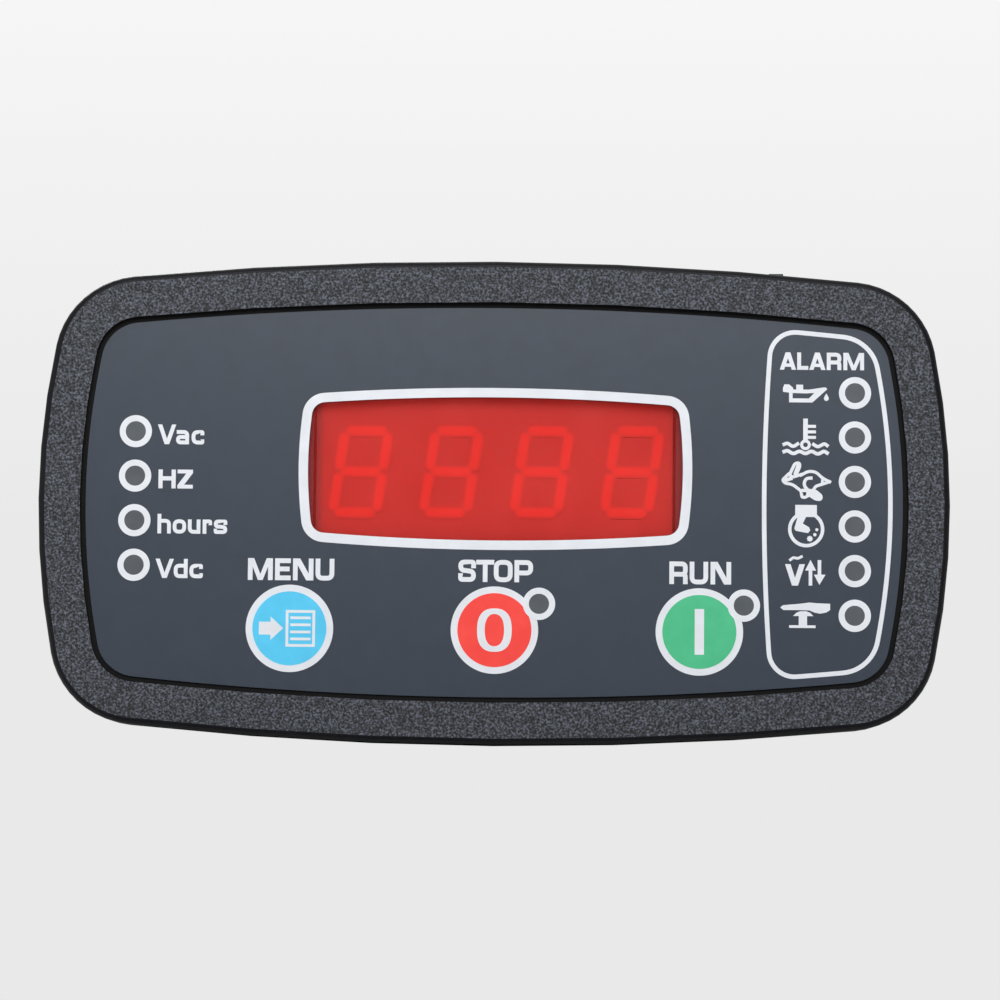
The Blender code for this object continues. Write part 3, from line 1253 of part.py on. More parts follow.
make_front_bezel()
make_front_overlay()
make_display_window()
make_display_case()
make_display_segments()
make_leds()
make_switches()
make_display_board()
make_board_screws()
make_microcontroller()
make_crystal()
make_main_board()
make_board_link()
make_relays()
make_capacitors()
make_voltage_regulator()
make_charge_resistor()
make_varistor()
make_socket("dc_socket", DC_POLES, DC_PITCH, DC_X)
make_socket("ac_socket", AC_POLES, AC_PITCH, AC_X)
clamp_screw = make_clamp_screw()
make_plug("dc_plug", DC_POLES, DC_PITCH, DC_X, "dc_clamp_screw")
make_plug("ac_plug", AC_POLES, AC_PITCH, AC_X, "ac_clamp_screw")
bpy.data.objects.remove(clamp_screw)
make_rear_housing()
make_mounting_spring()
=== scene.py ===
import json
import math

import bpy
from mathutils import Matrix, Vector


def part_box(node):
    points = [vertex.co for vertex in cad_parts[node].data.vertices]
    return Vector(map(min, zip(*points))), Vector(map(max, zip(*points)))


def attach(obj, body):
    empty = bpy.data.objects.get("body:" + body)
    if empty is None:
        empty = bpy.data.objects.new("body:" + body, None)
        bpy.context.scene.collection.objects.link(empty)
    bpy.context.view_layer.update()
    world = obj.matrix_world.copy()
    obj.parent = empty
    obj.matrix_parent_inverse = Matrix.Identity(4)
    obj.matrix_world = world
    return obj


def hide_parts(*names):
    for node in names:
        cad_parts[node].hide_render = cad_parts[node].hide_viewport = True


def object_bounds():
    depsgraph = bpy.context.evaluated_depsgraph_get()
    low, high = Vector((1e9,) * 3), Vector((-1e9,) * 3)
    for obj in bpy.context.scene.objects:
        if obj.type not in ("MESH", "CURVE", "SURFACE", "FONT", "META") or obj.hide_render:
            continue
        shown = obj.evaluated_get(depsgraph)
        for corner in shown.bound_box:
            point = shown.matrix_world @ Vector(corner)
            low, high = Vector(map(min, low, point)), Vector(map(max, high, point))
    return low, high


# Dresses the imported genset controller: finishes for every part, the printed front film with
# its words and signs, crisper copies of the mouldings, and a plain studio round them.
# Lengths are in millimetres and are made metres by mm where Blender needs them.

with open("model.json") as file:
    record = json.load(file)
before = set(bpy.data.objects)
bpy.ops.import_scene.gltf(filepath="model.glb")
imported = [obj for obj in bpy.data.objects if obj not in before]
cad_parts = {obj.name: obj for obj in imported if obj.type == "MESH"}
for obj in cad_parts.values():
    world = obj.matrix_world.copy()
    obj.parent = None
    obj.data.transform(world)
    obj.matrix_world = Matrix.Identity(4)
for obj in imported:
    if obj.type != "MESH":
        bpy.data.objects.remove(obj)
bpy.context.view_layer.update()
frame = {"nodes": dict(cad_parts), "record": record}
nodes = frame["nodes"]
mm = 0.001
print("frame loaded:", len(nodes), "parts")


# small helpers

def deselectAll():
    for other in list(bpy.context.selected_objects):
        other.select_set(False)


def selectOnly(*objects):
    deselectAll()
    for item in objects:
        item.select_set(True)
    bpy.context.view_layer.objects.active = objects[0]


def toLinear(code):
    # an sRGB hex colour as Blender's linear one
    channels = [int(code[i:i + 2], 16) / 255 for i in (1, 3, 5)]
    return [c / 12.92 if c <= 0.04045 else ((c + 0.055) / 1.055) ** 2.4 for c in channels] + [1]


def addNode(tree, kind, settings=None, links=None):
    # one node with its settings; links maps an input to another node's output
    node = tree.nodes.new(kind)
    for key, value in (settings or {}).items():
        if isinstance(key, int) or key in node.inputs:
            node.inputs[key].default_value = value
        else:
            setattr(node, key, value)
    for key, source in (links or {}).items():
        tree.links.new(source, node.inputs[key])
    return node


def newMaterial(name, **shader):
    material = bpy.data.materials.new(name)
    material.use_nodes = True
    tree = material.node_tree
    principled = tree.nodes["Principled BSDF"]
    for key, value in shader.items():
        principled.inputs[key.replace("_", " ")].default_value = value
    return material, tree, principled


def grainTexture(tree, size, detail=2.0, roughness=0.5):
    # noise whose grains are about size millimetres across
    place = addNode(tree, "ShaderNodeTexCoord")
    return addNode(
        tree, "ShaderNodeTexNoise",
        {"Scale": 1 / (size * mm), "Detail": detail, "Roughness": roughness},
        {"Vector": place.outputs["Object"]})


# the part of its range that a noise texture mostly uses
noiseLow, noiseHigh = 0.3, 0.7


def colourFrom(tree, principled, texture, dark, light):
    # the colour runs from dark to light as the texture goes from low to high
    ramp = addNode(tree, "ShaderNodeValToRGB", links={"Fac": texture.outputs["Fac"]})
    ramp.color_ramp.elements[0].position = noiseLow
    ramp.color_ramp.elements[1].position = noiseHigh
    ramp.color_ramp.elements[0].color = toLinear(dark)
    ramp.color_ramp.elements[1].color = toLinear(light)
    tree.links.new(ramp.outputs["Color"], principled.inputs["Base Color"])


def reliefFrom(tree, principled, texture, height):
    # surface relief of height millimetres
    bump = addNode(
        tree, "ShaderNodeBump", {"Strength": 1.0, "Distance": height * mm},
        {"Height": texture.outputs["Fac"]})
    tree.links.new(bump.outputs["Normal"], principled.inputs["Normal"])


def roughnessFrom(tree, principled, texture, low, high):
    # the gloss varies with the texture, from roughness low to roughness high
    spread = addNode(
        tree, "ShaderNodeMapRange",
        {"From Min": noiseLow, "From Max": noiseHigh, "To Min": low, "To Max": high},
        {"Value": texture.outputs["Fac"]})
    tree.links.new(spread.outputs["Result"], principled.inputs["Roughness"])


# finishes, one for each real material and how it was made

finishes = {}


def plainFinish(name, dark, light, grain, relief, roughness, **shader):
    # a moulded, dipped or fired surface: two close tones, fine relief, uneven gloss
    unevenness = 0.05
    material, tree, principled = newMaterial(name, **shader)
    texture = grainTexture(tree, grain)
    colourFrom(tree, principled, texture, dark, light)
    reliefFrom(tree, principled, texture, relief)
    roughnessFrom(tree, principled, texture, roughness - unevenness, roughness + unevenness)
    finishes[name] = material
    return tree, principled


def makeBezelFinishes():
    # ABS moulded in a spark-eroded tool: coarse grain, with painted glints on its tips as light specks and
    # painted shade in its hollows
    look = {
        "grain": 0.26, "detail": 2.0, "sharpness": 0.55, "clumps": 0.8, "clumpShare": 0.25,
        "relief": 0.09, "roughness": (0.66, 0.42),
        "hollow": (0.52, "#050609"), "body": (0.65, "#32363f"), "tip": (0.79, "#5c616d"),
    }
    material, tree, principled = newMaterial("absSparkEroded", IOR=1.54, Specular_IOR_Level=0.42)
    grain = grainTexture(tree, look["grain"], look["detail"], look["sharpness"])
    clumps = grainTexture(tree, look["clumps"], 1.0)
    both = addNode(
        tree, "ShaderNodeMath", {"operation": "MULTIPLY_ADD", 1: look["clumpShare"]},
        {0: clumps.outputs["Fac"], 2: grain.outputs["Fac"]})
    # the ramp paints shade into the grain's hollows and glints onto its tips
    ramp = addNode(tree, "ShaderNodeValToRGB", links={"Fac": both.outputs["Value"]})
    stops = ramp.color_ramp.elements
    stops.new(look["body"][0])
    for stop, (position, colour) in zip(stops, (look["hollow"], look["body"], look["tip"])):
        stop.position = position
        stop.color = toLinear(colour)
    tree.links.new(ramp.outputs["Color"], principled.inputs["Base Color"])
    reliefFrom(tree, principled, grain, look["relief"])
    roughnessFrom(tree, principled, grain, *look["roughness"])
    finishes["absSparkEroded"] = material
    # the same ABS where the tool was polished: the flange's rim and its side, smooth and even, and painted
    # darker than the ABS as shade
    plainFinish("absPolishedEdge", "#0b0c0f", "#111216", 0.3, 0.002, 0.33, IOR=1.54, Specular_IOR_Level=0.26)
    # the first turn of the rim, painted dark as shade, so that it reads as a dark line round the grain
    plainFinish("absDullRim", "#0b0c0f", "#14151a", 0.3, 0.004, 0.42, IOR=1.54, Specular_IOR_Level=0.14)
    # the floor and wall of the film's recess, smooth and painted near black as shade
    plainFinish("absRecess", "#050506", "#08080a", 0.3, 0.002, 0.6, IOR=1.54, Specular_IOR_Level=0.15)
    # the seat of the red pane, left satin: it shows as a dull band beside the display
    plainFinish("absSatinSeat", "#373c44", "#3d434b", 0.3, 0.003, 0.5, IOR=1.54, Specular_IOR_Level=0.3)
    # and the housing, from a tool that was only ground: fine even grain
    plainFinish("absGround", "#2b2c30", "#35363b", 0.16, 0.012, 0.55, IOR=1.54)


def makeFilmFinish(name, dark, light, roughness=0.4):
    # polycarbonate film printed on its back: the ink lies under a velvet-textured face
    look = {"velvet": 0.09, "cloud": 2.2, "relief": 0.003, "unevenness": 0.04}
    material, tree, principled = newMaterial(name, IOR=1.585)
    velvet = grainTexture(tree, look["velvet"], 1.0)
    cloud = grainTexture(tree, look["cloud"])
    colourFrom(tree, principled, cloud, dark, light)
    reliefFrom(tree, principled, velvet, look["relief"])
    roughnessFrom(tree, principled, velvet, roughness - look["unevenness"], roughness + look["unevenness"])
    finishes[name] = material


def makeRedPane():
    # dyed acrylic sheet, polished: seen as a red haze over the display
    look = {"haze": 6.0, "roughness": (0.16, 0.24), "tones": ("#d4221a", "#e02c22")}
    material, tree, principled = newMaterial("acrylicRedPane", Alpha=0.22, IOR=1.49, Specular_IOR_Level=0.4)
    haze = grainTexture(tree, look["haze"], 1.0)
    roughnessFrom(tree, principled, haze, *look["roughness"])
    colourFrom(tree, principled, haze, *look["tones"])
    finishes["acrylicRedPane"] = material


def makeSteelFinishes():
    # spring steel strip, zinc plated: rolled along its length, so faint streaks run that way,
    # level above and below the housing and upright at its sides
    along, across = 120, 4000
    stretches = {
        "springSteelZinc": (along, across, across), "springSteelUpright": (across, across, along)}
    for name, stretch in stretches.items():
        material, tree, principled = newMaterial(name, Metallic=1.0)
        place = addNode(tree, "ShaderNodeTexCoord")
        drawn = addNode(tree, "ShaderNodeMapping", {"Scale": stretch}, {"Vector": place.outputs["Object"]})
        streaks = addNode(
            tree, "ShaderNodeTexNoise", {"Scale": 1.0, "Detail": 3.0}, {"Vector": drawn.outputs["Vector"]})
        colourFrom(tree, principled, streaks, "#a4a8ad", "#c8ccd0")
        reliefFrom(tree, principled, streaks, 0.004)
        roughnessFrom(tree, principled, streaks, 0.26, 0.42)
        finishes[name] = material
    # turned screws, zinc plated
    plainFinish("screwSteelZinc", "#b3b5b4", "#d0d2cf", 0.4, 0.003, 0.3, Metallic=1.0)
    # nickel-plated brass clamps and pressed cans
    plainFinish("nickelPlate", "#b8b4aa", "#d3d0c6", 0.5, 0.002, 0.25, Metallic=1.0)


def makeBoardFinish():
    # glass-epoxy board under green solder mask, with the copper showing through as paler runs
    material, tree, principled = newMaterial("solderMaskGreen", IOR=1.5, Coat_Weight=0.3)
    place = addNode(tree, "ShaderNodeTexCoord")
    runs = addNode(
        tree, "ShaderNodeTexBrick",
        {"Scale": 260.0, "Mortar Size": 0.03, "Brick Width": 1.3, "Row Height": 0.55,
         "Color1": toLinear("#1f5a35"), "Color2": toLinear("#24643b"), "Mortar": toLinear("#3b8050")},
        {"Vector": place.outputs["Object"]})
    tree.links.new(runs.outputs["Color"], principled.inputs["Base Color"])
    weave = grainTexture(tree, 0.5)
    reliefFrom(tree, principled, weave, 0.01)
    roughnessFrom(tree, principled, weave, 0.3, 0.42)
    finishes["solderMaskGreen"] = material


def makeDisplayFace():
    # injection moulded and printed red; painted shade darkens the face towards its two ends, where the
    # window's edges shade it
    look = {"middle": 0.25, "from": 19.2, "to": 20.4, "end": "#77383a"}
    tree, principled = plainFinish("displayFaceRed", "#de2a20", "#e63228", 0.7, 0.004, 0.5, IOR=1.5)
    red = principled.inputs["Base Color"].links[0].from_socket
    place = addNode(tree, "ShaderNodeTexCoord")
    split = addNode(tree, "ShaderNodeSeparateXYZ", links={"Vector": place.outputs["Object"]})
    across = addNode(
        tree, "ShaderNodeMath", {"operation": "SUBTRACT", 1: look["middle"] * mm}, {0: split.outputs["X"]})
    away = addNode(tree, "ShaderNodeMath", {"operation": "ABSOLUTE"}, {0: across.outputs["Value"]})
    ends = addNode(
        tree, "ShaderNodeMapRange",
        {"From Min": look["from"] * mm, "From Max": look["to"] * mm, "interpolation_type": "SMOOTHSTEP"},
        {"Value": away.outputs["Value"]})
    # painted shade towards the two ends
    paintedShadeAtEnds = addNode(
        tree, "ShaderNodeMix", {"data_type": "RGBA", 7: toLinear(look["end"])},
        {0: ends.outputs["Result"], 6: red})
    tree.links.new(paintedShadeAtEnds.outputs[2], principled.inputs["Base Color"])


makeBezelFinishes()
makeFilmFinish("filmSlate", "#182839", "#1c2c3e", 0.33)
makeFilmFinish("inkWhite", "#e2e6ec", "#e9edf3")
makeFilmFinish("inkBlue", "#43c5f0", "#4dcffa")
makeFilmFinish("inkRed", "#fa2c20", "#ff382a")
makeFilmFinish("inkGreen", "#34b97f", "#3fc38a")
makeFilmFinish("filmSmokedWindow", "#40474e", "#4b5259", 0.34)
makeRedPane()
makeSteelFinishes()
makeBoardFinish()
makeDisplayFace()
# the bars are cast epoxy
plainFinish("barEpoxyRed", "#f23a26", "#ff4a32", 0.5, 0.003, 0.4, IOR=1.5)
# lamp bodies, cast in smoked epoxy
plainFinish("lampEpoxySmoked", "#6a6e6d", "#7b7f7d", 0.6, 0.002, 0.25, IOR=1.5)
# acetal key stems, and dark glass-filled nylon of small parts
plainFinish("acetalPale", "#d2d0c8", "#dedcd5", 0.3, 0.003, 0.4, IOR=1.48)
plainFinish("nylonDark", "#1f2023", "#2b2c30", 0.2, 0.008, 0.5, IOR=1.53)
# relay covers in blue PBT, and green flame-retardant nylon of the terminals
plainFinish("relayBlue", "#2563a3", "#2f72b6", 0.3, 0.004, 0.35, IOR=1.55)
plainFinish("nylonTerminalGreen", "#2f8a4b", "#3a9a58", 0.22, 0.008, 0.45, IOR=1.53)
# shrunk PVC sleeve, fired ceramic and dipped epoxy of the small parts
plainFinish("sleeveBlack", "#1b1f28", "#272c36", 0.8, 0.004, 0.3, IOR=1.53)
plainFinish("ceramicCream", "#cdc2a6", "#ddd3ba", 0.25, 0.012, 0.7, IOR=1.6)
plainFinish("epoxyDipBlue", "#2f6199", "#3c74b0", 0.5, 0.01, 0.35, IOR=1.55)
print("finishes made:", len(finishes))

nodeFinishes = {
    "front_bezel": "absSparkEroded", "rear_housing": "absGround", "front_overlay": "filmSlate",
    "display_window": "acrylicRedPane", "display_case": "displayFaceRed",
    "display_segments": "barEpoxyRed", "mounting_spring": "springSteelZinc",
    "display_board": "solderMaskGreen", "main_board": "solderMaskGreen",
    "crystal": "nickelPlate", "start_relay": "relayBlue", "fuel_relay": "relayBlue",
    "supply_capacitor": "sleeveBlack", "filter_capacitor": "sleeveBlack",
    "charge_resistor": "ceramicCream", "varistor": "epoxyDipBlue",
    "microcontroller": "nylonDark", "board_link": "nylonDark", "voltage_regulator": "nylonDark",
    "dc_socket": "nylonTerminalGreen", "ac_socket": "nylonTerminalGreen",
    "dc_plug": "nylonTerminalGreen", "ac_plug": "nylonTerminalGreen",
}


def finishFor(nodeName):
    if nodeName in nodeFinishes:
        return finishes[nodeFinishes[nodeName]]
    if "_led_" in nodeName:
        return finishes["lampEpoxySmoked"]
    if nodeName.endswith("_switch"):
        return finishes["nylonDark"]
    if nodeName.endswith("_plunger"):
        return finishes["acetalPale"]
    return finishes["screwSteelZinc"]


def setFinish(item, material):
    item.data.materials.clear()
    item.data.materials.append(material)


for nodeName, node in nodes.items():
    setFinish(node, finishFor(nodeName))
bodyOf = {node: body for body, members in frame["record"]["behaviour"]["bodies"].items()
          for node in members}


# crisp copies of the mouldings, with smooth curves and softened edges

# points nearer than merge become one; the angles, in degrees, tell flat, smooth and sharp apart
crisp = {"merge": 0.002, "flatAngle": 0.4, "smoothAngle": 32, "bevelAngle": 40}


def markEdges(item, above, angle):
    # edges of low relief that lie further than above from the middle are kept sharp
    selectOnly(item)
    bpy.ops.object.mode_set(mode="EDIT")
    bpy.ops.mesh.select_mode(type="EDGE")
    bpy.ops.mesh.select_all(action="DESELECT")
    bpy.ops.mesh.edges_select_sharp(sharpness=math.radians(angle))
    bpy.ops.object.mode_set(mode="OBJECT")
    points = item.data.vertices
    for line in item.data.edges:
        line.select = line.select and all(abs(points[i].co.z) > above * mm for i in line.vertices)
    bpy.ops.object.mode_set(mode="EDIT")
    bpy.ops.mesh.mark_sharp()
    bpy.ops.object.mode_set(mode="OBJECT")


def crispCopy(nodeName, name, edge=0.12, steps=2, relief=None):
    # edge is how far the edges are softened
    deselectAll()
    source = nodes[nodeName]
    item = source.copy()
    item.data = source.data.copy()
    item.name = name
    item.parent = None
    for key in list(item.keys()):
        del item[key]
    bpy.context.collection.objects.link(item)
    selectOnly(item)
    bpy.ops.object.mode_set(mode="EDIT")
    bpy.ops.mesh.select_all(action="SELECT")
    bpy.ops.mesh.remove_doubles(threshold=crisp["merge"] * mm)
    bpy.ops.mesh.dissolve_limited(angle_limit=math.radians(crisp["flatAngle"]))
    bpy.ops.object.mode_set(mode="OBJECT")
    bevel = item.modifiers.new("softEdges", "BEVEL")
    bevel.width = edge * mm
    bevel.segments = steps
    bevel.limit_method = "ANGLE"
    bevel.angle_limit = math.radians(crisp["bevelAngle"])
    bevel.use_clamp_overlap = True
    bpy.ops.object.modifier_apply(modifier=bevel.name)
    if relief:
        markEdges(item, *relief)
    bpy.ops.object.shade_smooth_by_angle(angle=math.radians(crisp["smoothAngle"]))
    weighted = item.modifiers.new("flatFaces", "WEIGHTED_NORMAL")
    weighted.keep_sharp = True
    bpy.ops.object.modifier_apply(modifier=weighted.name)
    setFinish(item, finishFor(nodeName))
    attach(item, bodyOf[nodeName])
    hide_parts(nodeName)
    return item


bezelCopy = crispCopy("front_bezel", "bezelMoulding", edge=0.15)
# the ratchet teeth are the housing's highest 0.8 mm, and slope by more than 8 degrees
teeth = {"height": 0.79, "angle": 8}
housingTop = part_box("rear_housing")[1].z / mm
crispCopy("rear_housing", "housingMoulding", edge=0.2,
          relief=(housingTop - teeth["height"], teeth["angle"]))
springCopy = crispCopy("mounting_spring", "springCollar", edge=0.12)
crispCopy("dc_socket", "dcSocketMoulding", edge=0.1, steps=1)
crispCopy("ac_socket", "acSocketMoulding", edge=0.1, steps=1)
crispCopy("dc_plug", "dcPlugMoulding", edge=0.15)
crispCopy("ac_plug", "acPlugMoulding", edge=0.15)
for nodeName in sorted(nodes):
    if "clamp_screw" in nodeName:
        first, *rest = nodeName.split("_")
        crispCopy(nodeName, first + "".join(word.capitalize() for word in rest), edge=0.08, steps=1)
print("crisp copies made")


def paintBezelRim():
    # the grain stops at the rounded rim, which is painted dark as shade; the recess round the film is painted
    # dark all over as shade
    look = {"flat": 0.995, "rimTilt": 0.985, "rimStart": 0.9, "floorBehind": -5.0, "seatBehind": -4.2}
    order = {"absSparkEroded": 0}
    for finish in ("absPolishedEdge", "absRecess", "absSatinSeat", "absDullRim"):
        order[finish] = len(bezelCopy.data.materials)
        bezelCopy.data.materials.append(finishes[finish])
    for side in bezelCopy.data.polygons:
        facing, depth = -side.normal.y, side.center.y / mm
        inward = side.normal.x * side.center.x + side.normal.z * side.center.z < 0
        finish = "absSparkEroded"
        if facing > look["flat"]:
            if depth > look["seatBehind"]:
                finish = "absSatinSeat"
            elif depth > look["floorBehind"]:
                finish = "absRecess"
        elif facing > -look["flat"] and inward:
            finish = "absRecess"
        elif -look["flat"] < facing < look["rimTilt"]:
            finish = "absDullRim" if facing > look["rimStart"] else "absPolishedEdge"
        side.material_index = order[finish]


def turnStreaks():
    # the spring's two side bands face left and right, and were rolled upright
    sideways = 0.75
    springCopy.data.materials.append(finishes["springSteelUpright"])
    for side in springCopy.data.polygons:
        side.material_index = 1 if abs(side.normal.x) > sideways else 0


paintBezelRim()
turnStreaks()
print("bezel rim and recess painted, spring streaks turned")


# outlines in the face's plane, X to the right and Z up

bezelLow, bezelHigh = [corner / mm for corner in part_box("front_bezel")]
filmLow, filmHigh = [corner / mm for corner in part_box("front_overlay")]
face = {
    "width": bezelHigh.x - bezelLow.x, "height": bezelHigh.z - bezelLow.z,
    "sideRadius": 88.8, "topRadius": 410.0, "corner": 9.75,
    "filmInset": filmLow.x - bezelLow.x, "filmThickness": 0.25, "filmBack": filmHigh.y,
    "ink": 0.03, "layer": 0.02, "strokeStep": 0.001, "strokeLevels": 12,
    "windowRadius": 1.13, "ringRadius": 1.805,
}
face["filmFront"] = face["filmBack"] - face["filmThickness"]


def arcPoints(center, radius, start, end, steps):
    turns = [start + (end - start) * i / steps for i in range(steps)]
    return [(center[0] + radius * math.cos(a), center[1] + radius * math.sin(a)) for a in turns]


def circlePoints(center, radius, steps=40):
    return arcPoints(center, radius, 0, 2 * math.pi, steps)


def ovalPoints(center, halfWidth, halfHeight, fullness, steps=72):
    # an ellipse, or a fuller oval for a fullness above 2
    points = []
    for x, z in circlePoints((0, 0), 1, steps):
        x, z = [math.copysign(abs(u) ** (2 / fullness), u) for u in (x, z)]
        points.append((center[0] + halfWidth * x, center[1] + halfHeight * z))
    return points


def capsulePoints(start, end, radius, steps=10):
    # a strip with round ends
    turn = math.atan2(end[1] - start[1], end[0] - start[0])
    quarter = math.pi / 2
    return (arcPoints(end, radius, turn - quarter, turn + quarter, steps)
            + arcPoints(start, radius, turn + quarter, turn + 3 * quarter, steps))


def boxPoints(left, right, low, high):
    return [(left, low), (right, low), (right, high), (left, high)]


def bowedOutline(sides, rounding, steps=(24, 12)):
    # four bowed sides (right, top, left, bottom); each corner runs smoothly into its two sides
    middles = [(c[0] + r * d[0], c[1] + r * d[1]) for c, r, d in sides]
    corners = []
    for i in range(4):
        (a, ra, _), (b, rb, _) = sides[i], sides[(i + 1) % 4]
        upright, level = (i, (i + 1) % 4) if i % 2 == 0 else ((i + 1) % 4, i)
        near = (middles[upright][0], middles[level][1])
        ra, rb = ra - rounding[i], rb - rounding[i]
        dx, dz = b[0] - a[0], b[1] - a[1]
        apart = math.hypot(dx, dz)
        reach = (ra * ra - rb * rb + apart * apart) / (2 * apart)
        aside = math.sqrt(max(ra * ra - reach * reach, 0))
        dx, dz = dx / apart, dz / apart
        found = [(a[0] + dx * reach - dz * aside * s, a[1] + dz * reach + dx * aside * s) for s in (1, -1)]
        corners.append(min(found, key=lambda p: math.dist(p, near)))
    points = []
    for i, (center, radius, _) in enumerate(sides):
        start = math.atan2(corners[i - 1][1] - center[1], corners[i - 1][0] - center[0])
        end = math.atan2(corners[i][1] - center[1], corners[i][0] - center[0])
        end += 2 * math.pi if end < start else 0
        points += arcPoints(center, radius, start, end, steps[0])
        other = sides[(i + 1) % 4][0]
        turn = math.atan2(corners[i][1] - other[1], corners[i][0] - other[0])
        turn += 2 * math.pi if turn < end else 0
        points += arcPoints(corners[i], rounding[i], end, turn, steps[1])
    return points


def cushionOutline(width, height, sideRadius, topRadius, corner, inset=0.0, middle=(0.0, 0.0)):
    side, top = width / 2 - sideRadius, height / 2 - topRadius
    x, z = middle
    return bowedOutline([
        ((x + side, z), sideRadius - inset, (1, 0)), ((x, z + top), topRadius - inset, (0, 1)),
        ((x - side, z), sideRadius - inset, (-1, 0)), ((x, z - top), topRadius - inset, (0, -1)),
    ], [corner - inset] * 4)


def faceOutline(inset):
    return cushionOutline(
        face["width"], face["height"], face["sideRadius"], face["topRadius"], face["corner"], inset)


def roundedPath(points, radius, closed=False, steps=5):
    # a line whose corners are rounded
    path = []
    count = len(points)
    for i, point in enumerate(points):
        if not closed and i in (0, count - 1) or not radius:
            path.append(point)
            continue
        here = Vector(point)
        before, after = Vector(points[i - 1]) - here, Vector(points[(i + 1) % count]) - here
        cut = min(radius, before.length / 2, after.length / 2)
        start, end = here + before.normalized() * cut, here + after.normalized() * cut
        for k in range(steps + 1):
            t = k / steps
            spot = start * (1 - t) ** 2 + here * 2 * t * (1 - t) + end * t * t
            path.append((spot.x, spot.y))
    return path


def advancing(side, line):
    # one side of a drawn line without the points that fold back inside a tight corner
    kept = [side[0]]
    for point, before, here in zip(side[1:], line, line[1:]):
        if (Vector(point) - Vector(kept[-1])).dot(here - before) > 0:
            kept.append(point)
    return kept


def ribbonOutlines(points, width, closed=False):
    # the outline of a line drawn with an even width, with square ends; a sharp corner's reach is
    # held back by the least size that its summed normals may have
    samePoint, leastSize = 1e-4, 1.2
    line = [Vector(p) for p in points]
    line = [p for i, p in enumerate(line) if i == 0 or (p - line[i - 1]).length > samePoint]
    if closed and (line[0] - line[-1]).length < samePoint:
        line.pop()
    count = len(line)
    if not closed:
        line[0] += (line[0] - line[1]).normalized() * width / 2
        line[-1] += (line[-1] - line[-2]).normalized() * width / 2
    left, right = [], []
    for i, point in enumerate(line):
        before = line[i] - line[i - 1] if closed or i else line[1] - line[0]
        after = line[(i + 1) % count] - line[i] if closed or i < count - 1 else before
        normal = Vector((-before.y, before.x)).normalized() + Vector((-after.y, after.x)).normalized()
        size = max(normal.length_squared, leastSize)
        left.append(tuple(point + normal * width / size))
        right.append(tuple(point - normal * width / size))
    if closed:
        return [left, right]
    return [advancing(left, line) + advancing(right, line)[::-1]]


def flatShape(outlines, front, back):
    # a flat curve with thickness, standing in the face's plane; inner outlines are holes
    curve = bpy.data.curves.new("outline", "CURVE")
    curve.dimensions = "2D"
    curve.fill_mode = "BOTH"
    curve.extrude = (back - front) / 2 * mm
    for outline in outlines:
        spline = curve.splines.new("POLY")
        spline.points.add(len(outline) - 1)
        for spot, (x, z) in zip(spline.points, outline):
            spot.co = (x * mm, z * mm, 0, 1)
        spline.use_cyclic_u = True
    item = bpy.data.objects.new("outline", curve)
    bpy.context.collection.objects.link(item)
    item.location = (0, (front + back) / 2 * mm, 0)
    item.rotation_euler = (math.pi / 2, 0, 0)
    return item


def asPiece(name, shapes, material, slot, body="controller", *replaced):
    # flat curves become one mesh, placed by its own points
    merge = 0.0005
    bpy.context.view_layer.update()
    selectOnly(*shapes)
    bpy.ops.object.convert(target="MESH")
    shapes = list(bpy.context.selected_objects)
    selectOnly(*shapes)
    bpy.ops.object.mode_set(mode="EDIT")
    bpy.ops.mesh.select_all(action="SELECT")
    bpy.ops.mesh.remove_doubles(threshold=merge * mm)
    bpy.ops.mesh.normals_make_consistent(inside=False)
    bpy.ops.object.mode_set(mode="OBJECT")
    if len(shapes) > 1:
        bpy.ops.object.join()
    item = bpy.context.view_layer.objects.active
    bpy.ops.object.transform_apply(location=True, rotation=True, scale=True)
    item.name = name
    item.data.name = name
    setFinish(item, material)
    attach(item, body)
    if replaced:
        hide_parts(*replaced)
    return item


# the printed film

def middleOf(nodeName):
    low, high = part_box(nodeName)
    return ((low.x + high.x) / 2 / mm, (low.z + high.z) / 2 / mm)


lights = {name: middleOf(name) for name in sorted(nodes) if "_led_" in name}
keys = {name: middleOf(name + "_plunger") for name in ("menu", "stop", "run")}
# layers of print, each a little in front of the one that it covers
inkFront = face["filmFront"] - face["ink"]
fieldFront = inkFront - face["layer"]
signFront = fieldFront - face["layer"]
ringFront = fieldFront - face["layer"] / 2

paneLow, paneHigh = [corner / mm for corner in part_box("display_window")]
window = {
    "paneLap": 0.8, "sideRadius": 48.4, "topRadius": 258.0, "corner": 1.5, "border": 1.05,
    "shift": (0.1, -0.08), "narrower": 0.05,
}
window["width"] = paneHigh.x - paneLow.x - 2 * window["paneLap"] - window["narrower"]
window["height"] = paneHigh.z - paneLow.z - 2 * window["paneLap"]
window["middle"] = [a + b for a, b in zip(middleOf("display_window"), window["shift"])]


def windowOutline(inset=0.0):
    return cushionOutline(
        window["width"], window["height"], window["sideRadius"], window["topRadius"],
        window["corner"], inset, window["middle"])


def makeFilm():
    outlines = [faceOutline(face["filmInset"]), windowOutline()]
    outlines += [circlePoints(place, face["windowRadius"]) for place in lights.values()]
    asPiece("printedFilm", [flatShape(outlines, face["filmFront"], face["filmBack"])],
            finishes["filmSlate"], "printed_film", "controller", "front_overlay")


def inkPiece(name, groups, ink="inkWhite", front=inkFront, back=face["filmFront"]):
    # each group of outlines is a shape of its own; steps of a few microns keep the faces of
    # overlapping strokes apart
    shapes = [flatShape(group, front - i % face["strokeLevels"] * face["strokeStep"], back)
              for i, group in enumerate(groups)]
    return asPiece(name, shapes, finishes[ink], "printed_film")


